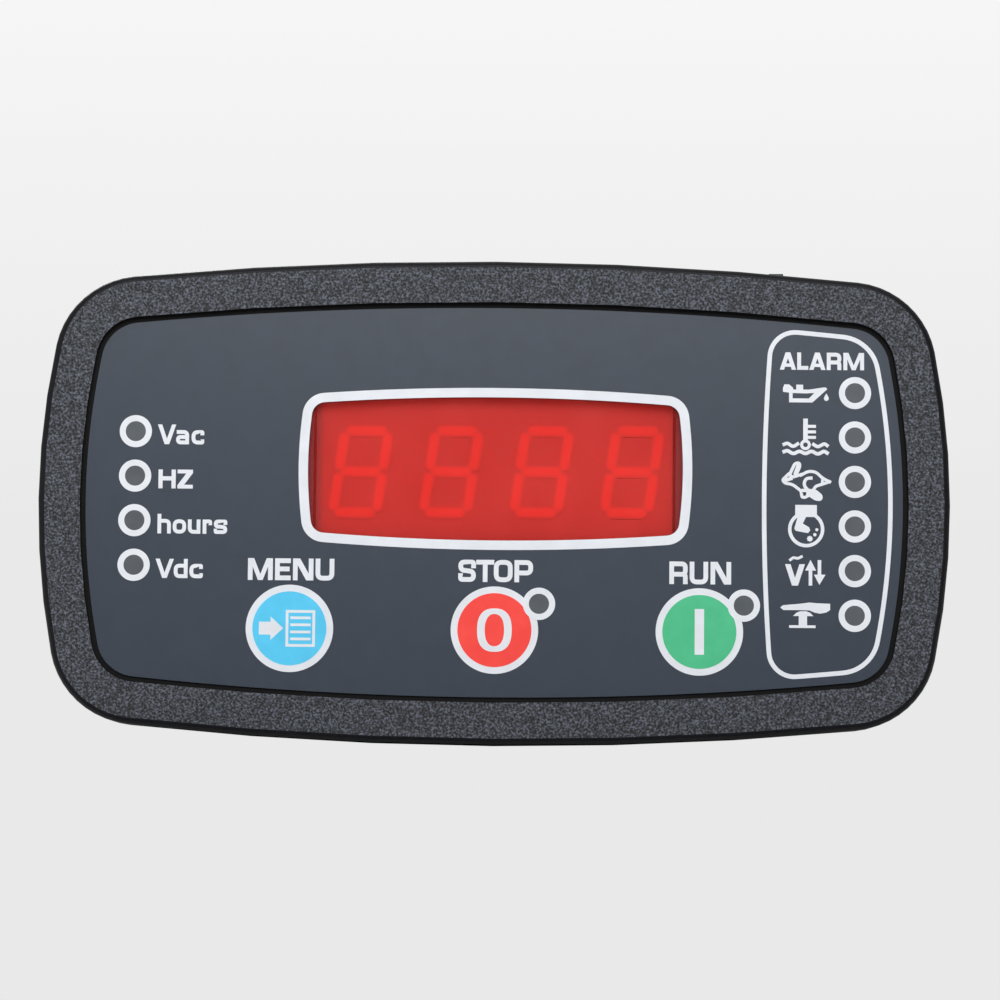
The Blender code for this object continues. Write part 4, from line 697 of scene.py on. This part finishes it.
def makeBorders():
    inkPiece("windowBorder", [[windowOutline(-window["border"]), windowOutline()]])
    # the alarm frame follows the film's bowed edges, and its left side bows outwards more gently
    frameLine = {
        "right": 1.14, "top": 0.78, "low": 0.92, "line": 0.51, "reach": 10.4, "leftRadius": 240.0,
        "corners": (4.6, 3.1, 3.1, 4.6),
    }
    edge = face["filmInset"]
    left = lights["alarm_led_oil"][0] - frameLine["reach"] + frameLine["leftRadius"]
    side, top = face["width"] / 2 - face["sideRadius"], face["height"] / 2 - face["topRadius"]

    def frameOutline(inset):
        return bowedOutline([
            ((side, 0), face["sideRadius"] - edge - frameLine["right"] - inset, (1, 0)),
            ((0, top), face["topRadius"] - edge - frameLine["top"] - inset, (0, 1)),
            ((left, 0), frameLine["leftRadius"] - inset, (-1, 0)),
            ((0, -top), face["topRadius"] - edge - frameLine["low"] - inset, (0, -1)),
        ], [corner - inset for corner in frameLine["corners"]])

    inkPiece("alarmFrame", [[frameOutline(0.0), frameOutline(frameLine["line"])]])


def makeKeyFields():
    look = {"ring": 4.88, "field": 4.13, "steps": 96, "lightSteps": 64}
    groups = [[circlePoints(place, look[part], look["steps"]) for part in ("ring", "field")]
              for place in keys.values()]
    inkPiece("keyRings", groups)
    for name, ink in (("menu", "inkBlue"), ("stop", "inkRed"), ("run", "inkGreen")):
        disc = circlePoints(keys[name], look["field"], look["steps"])
        inkPiece(name + "Field", [[disc]], ink, fieldFront)
    # the light beside a key covers a little of the key's ring
    groups = [[circlePoints(place, face["ringRadius"], look["lightSteps"]),
               circlePoints(place, face["windowRadius"])] for place in lights.values()]
    inkPiece("lightRings", groups, "inkWhite", ringFront)
    groups = [[circlePoints(place, face["windowRadius"])] for place in lights.values()]
    shapes = [flatShape(group, fieldFront, face["filmBack"]) for group in groups]
    asPiece("lightWindows", shapes, finishes["filmSmokedWindow"], "led_lens")


def makeBars():
    # painted glow: each bar is a stack of slimmer, brighter strips that glow a little, for light spreading in
    # the cast epoxy
    look = {
        "digits": 4, "pitch": 10.16, "width": 6.0, "height": 10.3, "slant": 8.0,
        "shift": (0.22, -0.25), "rise": 0.07, "stroke": 1.1, "gap": 0.22,
        "behind": 0.12, "front": 0.1, "back": 0.17, "step": 0.012, "barLevels": 7,
        "strips": ((0.74, "#e63026", 0.0), (0.66, "#ea2c20", 0.06), (0.58, "#ee281a", 0.12),
                   (0.49, "#f22414", 0.18), (0.38, "#f62210", 0.24)),
    }
    halfWidth, halfHeight = (look["width"] - look["stroke"]) / 2, (look["height"] - look["stroke"]) / 2
    across = halfWidth - look["gap"] - look["stroke"] / 2
    upright = halfHeight / 2 - look["gap"] - look["stroke"] / 2
    lines = [((-across, z), (across, z)) for z in (-halfHeight, 0, halfHeight)]
    lines += [((x, z - upright), (x, z + upright)) for x in (-halfWidth, halfWidth)
              for z in (-halfHeight / 2, halfHeight / 2)]
    slope = math.tan(math.radians(look["slant"]))
    middleX, middleZ = [a + b for a, b in zip(middleOf("display_window"), look["shift"])]
    pane = paneHigh.y + look["behind"]
    # neighbouring bars lie a hair apart in depth, so that their overlapping ends don't share a face
    fineStep = look["step"] / (look["barLevels"] + 1)
    for level, (half, colour, paintedGlow) in enumerate(look["strips"]):
        name = "barGlow" + str(level + 1)
        # each strip carries a painted glow as emission
        plainFinish(name, colour, colour, 0.5, 0.0, 0.4, IOR=1.5,
                    Emission_Color=toLinear(colour), Emission_Strength=paintedGlow)
        shapes = []
        for digit in range(look["digits"]):
            # the display sits a trifle askew, rising to the right
            place = digit - (look["digits"] - 1) / 2
            x, z = middleX + place * look["pitch"], middleZ + place * look["rise"]
            for start, end in lines:
                ends = [(x + u + v * slope, z + v) for u, v in (start, end)]
                front = (pane + look["front"] - level * look["step"]
                         - len(shapes) % look["barLevels"] * fineStep)
                shapes.append(flatShape([capsulePoints(*ends, half)], front, pane + look["back"]))
        asPiece(name, shapes, finishes[name], "display_segments")


makeFilm()
makeBorders()
makeKeyFields()
makeBars()
print("film, borders, fields and bars made")


# letters: ribbons on the unit square between stroke middles, and slabs for slanted strokes

# A ribbon is (corner rounding, closed, points). A slab's corners are (share of the width,
# strokes to add, share of the height, strokes to add).
stem = [(0, 0, 0, 0), (0, 1, 0, 0), (0, 1, 1, 0), (0, 0, 1, 0)]
stemRight = [(1, -1, 0, 0), (1, 0, 0, 0), (1, 0, 1, 0), (1, -1, 1, 0)]
letters = {
    "A": {"slabs": [
        [(0, 0, 0, 0), (0, 1.1, 0, 0), (0.5, 0.5, 1, 0), (0.5, -0.6, 1, 0)],
        [(1, -1.1, 0, 0), (1, 0, 0, 0), (0.5, 0.6, 1, 0), (0.5, -0.5, 1, 0)],
        [(0.2, 0, 0.17, 0), (0.8, 0, 0.17, 0), (0.8, 0, 0.17, 0.85), (0.2, 0, 0.17, 0.85)]]},
    "E": {"ribbons": [(0, False, [(1, 1), (0, 1), (0, 0), (1, 0)]), (0, False, [(0, 0.52), (0.9, 0.52)])]},
    "H": {"slabs": [stem, stemRight], "ribbons": [(0, False, [(0, 0.54), (1, 0.54)])]},
    "L": {"ribbons": [(0, False, [(0, 1), (0, 0), (1, 0)])]},
    "M": {"slabs": [stem, stemRight,
                    [(0.5, -0.5, 0, 0), (0.5, 0.5, 0, 0), (0, 1.3, 1, 0), (0, 0.3, 1, 0)],
                    [(0.5, -0.5, 0, 0), (0.5, 0.5, 0, 0), (1, -0.3, 1, 0), (1, -1.3, 1, 0)]]},
    "N": {"slabs": [stem, stemRight,
                    [(1, -1.5, 0, 0), (1, -0.2, 0, 0), (0, 1.5, 1, 0), (0, 0.2, 1, 0)]]},
    "O": {"ribbons": [(0.62, True, [(0, 0), (1, 0), (1, 1), (0, 1)])]},
    "P": {"ribbons": [(0.5, False, [(0, 0), (0, 1)]),
                      (0.5, False, [(0, 1), (1, 1), (1, 0.4), (0, 0.4)])]},
    "R": {"ribbons": [(0, False, [(0, 0), (0, 1)]),
                      (0.42, False, [(0, 1), (1, 1), (1, 0.42), (0, 0.42)]),
                      (0.3, False, [(0.55, 0.42), (1, 0.42), (1, 0)])]},
    "S": {"ribbons": [(0.45, False, [(1, 0.78), (1, 1), (0, 1), (0, 0.54), (1, 0.46), (1, 0),
                                     (0, 0), (0, 0.22)])]},
    "T": {"ribbons": [(0, False, [(0, 1), (1, 1)]), (0, False, [(0.5, 1), (0.5, 0)])]},
    "U": {"ribbons": [(0.55, False, [(0, 1), (0, 0), (1, 0), (1, 1)])]},
    "V": {"slabs": [[(0.5, -0.6, 0, 0), (0.5, 0.5, 0, 0), (0, 1.1, 1, 0), (0, 0, 1, 0)],
                    [(0.5, -0.5, 0, 0), (0.5, 0.6, 0, 0), (1, 0, 1, 0), (1, -1.1, 1, 0)]]},
    "Z": {"slabs": [[(0, 0, 0, 0), (1, 0, 0, 0), (1, 0, 0, 0.9), (0, 0, 0, 0.9)],
                    [(0, 0, 1, -0.9), (1, 0, 1, -0.9), (1, 0, 1, 0), (0, 0, 1, 0)],
                    [(0, 0, 0, 0.8), (0, 1.5, 0, 0.8), (1, 0, 1, -0.8), (1, -1.5, 1, -0.8)]]},
    "a": {"ribbons": [(0.4, False, [(0.06, 1), (1, 1), (1, 0)]),
                      (0.3, False, [(1, 0.52), (0, 0.52), (0, 0), (1, 0)])]},
    "c": {"ribbons": [(0.5, False, [(1, 0.88), (1, 1), (0, 1), (0, 0), (1, 0), (1, 0.12)])]},
    "d": {"ribbons": [(0, False, [(1, 1), (1, 0)]),
                      (0.45, False, [(1, 0.68), (0, 0.68), (0, 0), (1, 0)])]},
    "h": {"ribbons": [(0, False, [(0, 1), (0, 0)]), (0.45, False, [(0, 0.68), (1, 0.68), (1, 0)])]},
    "o": {"ribbons": [(0.5, True, [(0, 0), (1, 0), (1, 1), (0, 1)])]},
    "r": {"ribbons": [(0, False, [(0, 0), (0, 1)]), (0.35, False, [(0, 1), (1, 1), (1, 0.82)])]},
    "s": {"ribbons": [(0.35, False, [(1, 0.86), (1, 1), (0, 1), (0, 0.54), (1, 0.46), (1, 0),
                                     (0, 0), (0, 0.14)])]},
    "u": {"ribbons": [(0.45, False, [(0, 1), (0, 0), (1, 0)]), (0, False, [(1, 1), (1, 0)])]},
}


def letterShapes(letter, left, right, low, high, stroke):
    # the outlines of one letter that fills a box
    drawn = letters[letter]
    shapes = []
    for corners in drawn.get("slabs", []):
        shapes.append([[
            (left + ux * (right - left) + sx * stroke, low + uz * (high - low) + sz * stroke)
            for ux, sx, uz, sz in corners]])
    x0, z0 = left + stroke / 2, low + stroke / 2
    spanX, spanZ = right - left - stroke, high - low - stroke
    for rounding, closed, points in drawn.get("ribbons", []):
        line = [(x0 + u * spanX, z0 + v * spanZ) for u, v in points]
        shapes.append(ribbonOutlines(roundedPath(line, rounding, closed), stroke, closed))
    return shapes


# word: baseline, top of small letters, top of capitals, stroke, then each letter's left and right
words = {
    "Vac": (6.17, 7.77, 8.39, 0.43, [(-37.74, -35.69), (-35.69, -34.24), (-33.96, -32.54)]),
    "HZ": (1.20, 3.32, 3.32, 0.47, [(-37.59, -35.66), (-35.46, -33.74)]),
    "hours": (-3.86, -2.26, -1.66, 0.42, [(-37.62, -36.12), (-35.92, -34.42), (-34.22, -32.82),
                                          (-32.57, -31.52), (-31.32, -29.82)]),
    "Vdc": (-8.84, -7.24, -6.69, 0.43, [(-37.77, -35.72), (-35.72, -34.17), (-33.97, -32.47)]),
    "MENU": (-8.98, -6.53, -6.53, 0.53, [(-27.44, -24.66), (-24.41, -22.66),
                                         (-22.41, -20.12), (-19.89, -17.79)]),
    "STOP": (-8.98, -6.50, -6.50, 0.53, [(-3.95, -1.98), (-1.95, 0.06), (0.02, 2.12), (2.32, 4.40)]),
    "RUN": (-9.03, -6.50, -6.50, 0.52, [(19.62, 21.67), (21.89, 23.95), (24.22, 26.52)]),
    "ALARM": (15.18, 17.14, 17.14, 0.44, [(31.89, 33.72), (33.84, 35.09), (35.19, 37.02),
                                          (37.16, 38.79), (39.02, 41.34)]),
}


def makeWords():
    # the letters that reach only to the top of small letters
    lowLetters = "acorsu"
    groups = []
    for word, (low, smallTop, capTop, stroke, boxes) in words.items():
        for letter, (left, right) in zip(word, boxes):
            top = smallTop if letter in lowLetters else capTop
            groups += letterShapes(letter, left, right, low, top, stroke)
    inkPiece("printedWords", groups)


makeWords()
print("words made")


# signs beside the alarm lights, each measured from the middle of its light, and on the keys

def pathRibbon(points, width, rounding=0.0):
    return ribbonOutlines(roundedPath(points, rounding), width)


def movedTo(place, shapes):
    return [[[(x + place[0], z + place[1]) for x, z in outline] for outline in shape] for shape in shapes]


def ringShape(x, z, outer, inner):
    return [circlePoints((x, z), outer, 48), circlePoints((x, z), inner, 48)]


def oilSign():
    # oil can with a falling drop
    return [
        [[(-8.1, 0.08), (-8.12, 0.5), (-7.95, 0.92), (-7.42, 0.92), (-6.95, 0.52),
          (-7.02, 0.12), (-7.45, 0)]],
        [boxPoints(-6.62, -5.84, 0.3, 0.9)],
        [[(-7.42, 0), (-7.42, -1.1), (-4.8, -1.1), (-3.15, 0.4), (-3.3, 0.6), (-3.6, 0.6), (-5.2, 0.35),
          (-7.1, 0.35)],
         [(-7.02, -0.05), (-5.5, -0.08), (-4.6, -0.02), (-5.2, -0.65), (-7.02, -0.65)]],
        [[(-3.24, -0.05), (-3.04, -0.4), (-2.96, -0.65), (-3.04, -0.84), (-3.24, -0.92),
          (-3.44, -0.84), (-3.52, -0.65), (-3.44, -0.4)]],
    ]


def heatSign():
    # thermometer standing in waves
    shapes = [
        pathRibbon([(-5.57, -0.3), (-5.57, 1.85)], 0.52),
        ringShape(-5.57, -0.84, 0.6, 0.26),
        pathRibbon([(-7.95, -0.8), (-7.6, -0.65), (-6.95, -1.1), (-6.45, -0.75)], 0.38, 0.35),
        pathRibbon([(-4.65, -0.8), (-4.2, -1.1), (-3.45, -0.68), (-3.15, -0.9)], 0.38, 0.35),
        pathRibbon([(-7.95, -1.62), (-7.6, -1.48), (-6.9, -1.92), (-6.25, -1.5), (-5.57, -1.9),
                    (-4.9, -1.48), (-4.2, -1.94), (-3.5, -1.52), (-3.15, -1.74)], 0.4, 0.35),
    ]
    shapes += [[boxPoints(-5.4, -4.4, z - 0.17, z + 0.17)] for z in (1.24, 0.62, 0.0)]
    return shapes


def speedSign():
    # running hare
    return [
        pathRibbon([(-6.05, 0.75), (-5.2, 1.22), (-4.35, 1.1), (-3.65, 0.4), (-2.85, 0.02)], 0.34, 0.7),
        pathRibbon([(-2.9, 0.02), (-3.45, -0.18), (-4.4, -0.48), (-4.65, -0.85)], 0.34, 0.5),
        pathRibbon([(-3.65, 0.35), (-3.68, -0.1)], 0.3),
        pathRibbon([(-4.95, 0.42), (-5.45, 0.38), (-5.72, -0.05), (-5.65, -0.55), (-5.2, -1)], 0.36, 0.6),
        pathRibbon([(-6.1, -1), (-7, -0.3), (-7.85, -0.18), (-8.15, 0.18), (-7.45, 0.85)], 0.34, 0.5),
        pathRibbon([(-7.35, 0.75), (-6.75, 2.05), (-6.25, 2.12), (-6.2, 1.7), (-6.65, 0.7)], 0.36, 0.5),
        pathRibbon([(-7.3, 0.75), (-7, 0.5), (-6.1, 0.8)], 0.34, 0.3),
        pathRibbon([(-6.75, 0.9), (-6.45, 1.75)], 0.3),
        pathRibbon([(-7.8, 0.15), (-7.2, 0.35)], 0.4),
        pathRibbon([(-6.05, -1.1), (-5.95, -1.75), (-5.55, -1.75), (-5.05, -1.4)], 0.34, 0.3),
        pathRibbon([(-5.8, -0.98), (-4.5, -1), (-3.8, -1.6), (-3.85, -1.95), (-4.4, -1.94), (-5.2, -1.4)],
                   0.38, 0.3),
        pathRibbon([(-5.2, -1.25), (-4.2, -1.65)], 0.5),
    ]


def startSign():
    # crankcase with a crank and a turning arrow
    shapes = [
        [boxPoints(-6.7, -4.28, 1.1, 2.45)],
        ringShape(-5.47, -0.28, 2.03, 1.64),
        [[(-6.4, 1.2), (-5.45, 1.2), (-5.85, 0.35), (-5.15, -0.05), (-5.02, -0.4),
          (-5.25, -0.7), (-5.65, -0.65), (-6.65, -0.45), (-6.8, -0.2)]],
    ]
    for x, z, half in ((-4.28, -0.32, 0.2), (-4.5, -0.88, 0.22), (-5.06, -1.34, 0.36)):
        shapes.append([[(x - half, z), (x, z - half), (x + half, z), (x, z + half)]])
        shapes.append([boxPoints(x - half * 0.7, x + half * 0.7, z - half * 0.7, z + half * 0.7)])
    return shapes


def voltageSign():
    # V under a wave, with arrows up and down
    shapes = letterShapes("V", -7.82, -5.6, -1.6, 0.8, 0.56)
    return shapes + [
        pathRibbon([(-7.22, 1.3), (-6.9, 1.56), (-6.4, 1.42), (-6, 1.64)], 0.3, 0.25),
        [boxPoints(-5.18, -4.78, -1.58, 0.2)],
        [[(-5.58, 0.1), (-4.35, 0.1), (-4.98, 1.3)]],
        [boxPoints(-4.18, -3.78, -0.4, 1.28)],
        [[(-4.6, -0.35), (-3.98, -1.5), (-3.3, -0.35)]],
    ]


def stopKeySign():
    # hand pressing a mushroom button
    return [
        [[(-8.35, 0.92), (-8.05, 1.18), (-6.2, 1.35), (-5.1, 1.5), (-4.3, 1.43),
          (-2.78, 1.38), (-2.78, 0.68), (-3.2, 0.4), (-3.9, 0.26), (-4.5, 0.38),
          (-5.1, 0.62), (-6.2, 0.64), (-8, 0.64)]],
        [[(-6.92, -0.02), (-6.55, 0.35), (-6.1, 0.52), (-5.45, 0.52), (-5, 0.35),
          (-4.64, -0.02)]],
        [boxPoints(-6.28, -5.35, -1.2, 0.1)],
        [boxPoints(-7.35, -4.4, -1.35, -1.05)],
    ]


def makeSigns():
    # each with how far its middle stands above its light; all stand a trifle to the right
    aside = 0.03
    drawings = {
        "oil": (oilSign, 0.0), "heat": (heatSign, -0.03), "speed": (speedSign, -0.03),
        "start": (startSign, -0.08), "voltage": (voltageSign, -0.08), "stop_key": (stopKeySign, -0.06),
    }
    signs = []
    for name, (draw, up) in drawings.items():
        x, z = lights["alarm_led_" + name]
        signs += movedTo((x + aside, z + up), draw())
    inkPiece("alarmSigns", signs)
    # the menu key: an arrow into a page of lines
    x, z = keys["menu"]
    arrow = [(-3.4, 0.72), (-2.1, 0.72), (-2.1, 1.3), (-0.7, 0.0), (-2.1, -1.3), (-2.1, -0.72), (-3.4, -0.72)]
    page = [boxPoints(x - 0.42, x + 2.86, z - 2.05, z + 2.05),
            boxPoints(x - 0.12, x + 2.56, z - 1.75, z + 1.75)]
    lines = [[boxPoints(x + 0.1, x + 2.36, z + up - 0.15, z + up + 0.15)] for up in (1.18, 0.4, -0.4, -1.18)]
    inkPiece("menuSign", [[[(x + u, z + v) for u, v in arrow]], page] + lines, "inkWhite", signFront)
    # the stop key: an oval nought, and the run key: an upright stroke
    oval = [ovalPoints(keys["stop"], 1.93, 2.42, 2.5), ovalPoints(keys["stop"], 1.08, 1.8, 2.3)]
    inkPiece("stopSign", [oval], "inkWhite", signFront)
    x, z = keys["run"]
    inkPiece("runSign", [[boxPoints(x - 0.52, x + 0.52, z - 2.55, z + 2.55)]], "inkWhite", signFront)


makeSigns()
print("signs made")


# clamp cages inside the wire entries

def makeCages(name, plugName, screwPrefix, body):
    # heights count from the middle of the plug's pins, depths from its shoulder
    look = {
        "wide": 2.9, "low": -2.85, "high": 0.45, "wall": 0.35, "front": 3.6, "back": 8.6,
        "pins": -4.7, "plugDepth": 9.2,
    }
    bottom, top = look["pins"] + look["low"], look["pins"] + look["high"]
    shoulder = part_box(plugName)[1].y / mm - look["plugDepth"]
    half, wall = look["wide"] / 2, look["wall"]
    cages = []
    for nodeName in sorted(nodes):
        if nodeName.startswith(screwPrefix):
            x = middleOf(nodeName)[0]
            outer = boxPoints(x - half, x + half, bottom, top)
            inner = boxPoints(x - half + wall, x + half - wall, bottom + wall, top - wall)
            cages.append(flatShape([outer, inner], shoulder + look["front"], shoulder + look["back"]))
    asPiece(name, cages, finishes["nickelPlate"], "plated_steel", body)


makeCages("dcClampCages", "dc_plug", "dc_clamp_screw", "dc_terminals")
makeCages("acClampCages", "ac_plug", "ac_clamp_screw", "ac_terminals")
print("clamp cages made")


# floor, world, lamps and camera

def makeStage():
    # pale floor, seen through from below and fading out into the backdrop further away
    look = {"size": 3.0, "under": 0.02, "colour": "#d6d6d6", "fadeFrom": 0.22, "fadeTo": 0.62}
    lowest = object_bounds()[0][2]
    deselectAll()
    bpy.ops.mesh.primitive_plane_add(size=look["size"], location=(0, 0, lowest - look["under"] * mm))
    floor = bpy.context.view_layer.objects.active
    floor.name = "studioFloor"
    material = bpy.data.materials.new("floorMattPaper")
    material.use_nodes = True
    tree = material.node_tree
    tree.nodes.clear()
    paper = addNode(tree, "ShaderNodeBsdfDiffuse", {"Color": toLinear(look["colour"])})
    clear = addNode(tree, "ShaderNodeBsdfTransparent")
    side = addNode(tree, "ShaderNodeNewGeometry")
    place = addNode(tree, "ShaderNodeTexCoord")
    away = addNode(tree, "ShaderNodeVectorMath", {"operation": "LENGTH"}, {0: place.outputs["Object"]})
    fade = addNode(
        tree, "ShaderNodeMapRange",
        {"From Min": look["fadeFrom"], "From Max": look["fadeTo"], "interpolation_type": "SMOOTHSTEP"},
        {"Value": away.outputs["Value"]})
    rays = addNode(tree, "ShaderNodeLightPath")
    seenFade = addNode(tree, "ShaderNodeMath", {"operation": "MULTIPLY"}, {
        0: fade.outputs["Result"], 1: rays.outputs["Is Camera Ray"]})
    throughFloor = addNode(tree, "ShaderNodeMath", {"operation": "MAXIMUM"}, {
        0: seenFade.outputs["Value"], 1: side.outputs["Backfacing"]})
    mix = addNode(tree, "ShaderNodeMixShader", links={
        0: throughFloor.outputs["Value"], 1: paper.outputs["BSDF"], 2: clear.outputs["BSDF"]})
    addNode(tree, "ShaderNodeOutputMaterial", links={"Surface": mix.outputs["Shader"]})
    floor.data.materials.append(material)


def makeWorld():
    # even grey light; the camera sees a pale backdrop that is a little lighter towards the top
    look = {
        "level": 0.28, "above": 0.6, "fullHeight": 0.9,
        "low": "#e9e9e9", "high": "#f9f9f9", "paleFrom": 0.08, "paleTo": 0.24,
    }
    world = bpy.data.worlds.new("studioWorld")
    bpy.context.scene.world = world
    world.use_nodes = True
    tree = world.node_tree
    tree.nodes.clear()
    place = addNode(tree, "ShaderNodeTexCoord")
    split = addNode(tree, "ShaderNodeSeparateXYZ", links={"Vector": place.outputs["Generated"]})
    height = addNode(
        tree, "ShaderNodeMapRange", {"From Min": look["paleFrom"], "From Max": look["paleTo"]},
        {"Value": split.outputs["Z"]})
    pale = addNode(
        tree, "ShaderNodeMix",
        {"data_type": "RGBA", 6: toLinear(look["low"]), 7: toLinear(look["high"])},
        {0: height.outputs["Result"]})
    seen = addNode(tree, "ShaderNodeBackground", links={"Color": pale.outputs[2]})
    ceiling = addNode(
        tree, "ShaderNodeMapRange",
        {"From Min": 0.0, "From Max": look["fullHeight"], "To Min": look["level"], "To Max": look["above"]},
        {"Value": split.outputs["Z"]})
    lit = addNode(
        tree, "ShaderNodeBackground", {"Color": (1, 1, 1, 1)}, {"Strength": ceiling.outputs["Result"]})
    rays = addNode(tree, "ShaderNodeLightPath")
    clear = addNode(tree, "ShaderNodeMath", {"operation": "MAXIMUM"}, {
        0: rays.outputs["Is Camera Ray"], 1: rays.outputs["Is Transmission Ray"]})
    mix = addNode(tree, "ShaderNodeMixShader", links={
        0: clear.outputs["Value"], 1: lit.outputs["Background"], 2: seen.outputs["Background"]})
    addNode(tree, "ShaderNodeOutputWorld", links={"Surface": mix.outputs["Shader"]})


def makeLamps():
    # square softboxes that all point at the controller, placed in metres
    lamps = {
        "keyLamp": {"place": (0.0, -0.62, 0.35), "size": 0.4, "power": 2.7},
        "fillLamp": {"place": (-0.6, -0.45, 0.1), "size": 0.4, "power": 0.6},
        "rearLamp": {"place": (-0.25, 0.55, 0.45), "size": 0.4, "power": 2.0},
    }
    for name, look in lamps.items():
        data = bpy.data.lights.new(name, "AREA")
        data.shape = "SQUARE"
        data.size = look["size"]
        data.energy = look["power"]
        lamp = bpy.data.objects.new(name, data)
        bpy.context.collection.objects.link(lamp)
        lamp.location = look["place"]
        lamp.rotation_euler = (-Vector(look["place"])).to_track_quat("-Z", "Y").to_euler()


def makeCamera():
    # the photograph is taken as looking up a few degrees, from 45 cm away
    look = {
        "distance": 450.0, "below": 5.0, "roll": 0.504, "aim": (0.64, -5.5, 0.18),
        "seenWidth": 111.72, "sensor": 36.0, "nearest": 10.0,
    }
    data = bpy.data.cameras.new("photoCamera")
    camera = bpy.data.objects.new("photoCamera", data)
    bpy.context.collection.objects.link(camera)
    angle = math.radians(look["below"])
    aim = Vector(look["aim"]) * mm
    back = Vector((0, -math.cos(angle), -math.sin(angle))) * look["distance"] * mm
    turn = (-back).to_track_quat("-Z", "Y").to_matrix().to_4x4()
    camera.matrix_world = (
        Matrix.Translation(aim + back) @ turn @ Matrix.Rotation(math.radians(look["roll"]), 4, "Z"))
    data.sensor_width = look["sensor"]
    data.lens = look["sensor"] * look["distance"] / look["seenWidth"]
    data.clip_start = look["nearest"] * mm
    bpy.context.scene.camera = camera


makeStage()
makeWorld()
makeLamps()
makeCamera()
bpy.context.scene.view_settings.view_transform = "Standard"
print("stage, lamps and camera made")
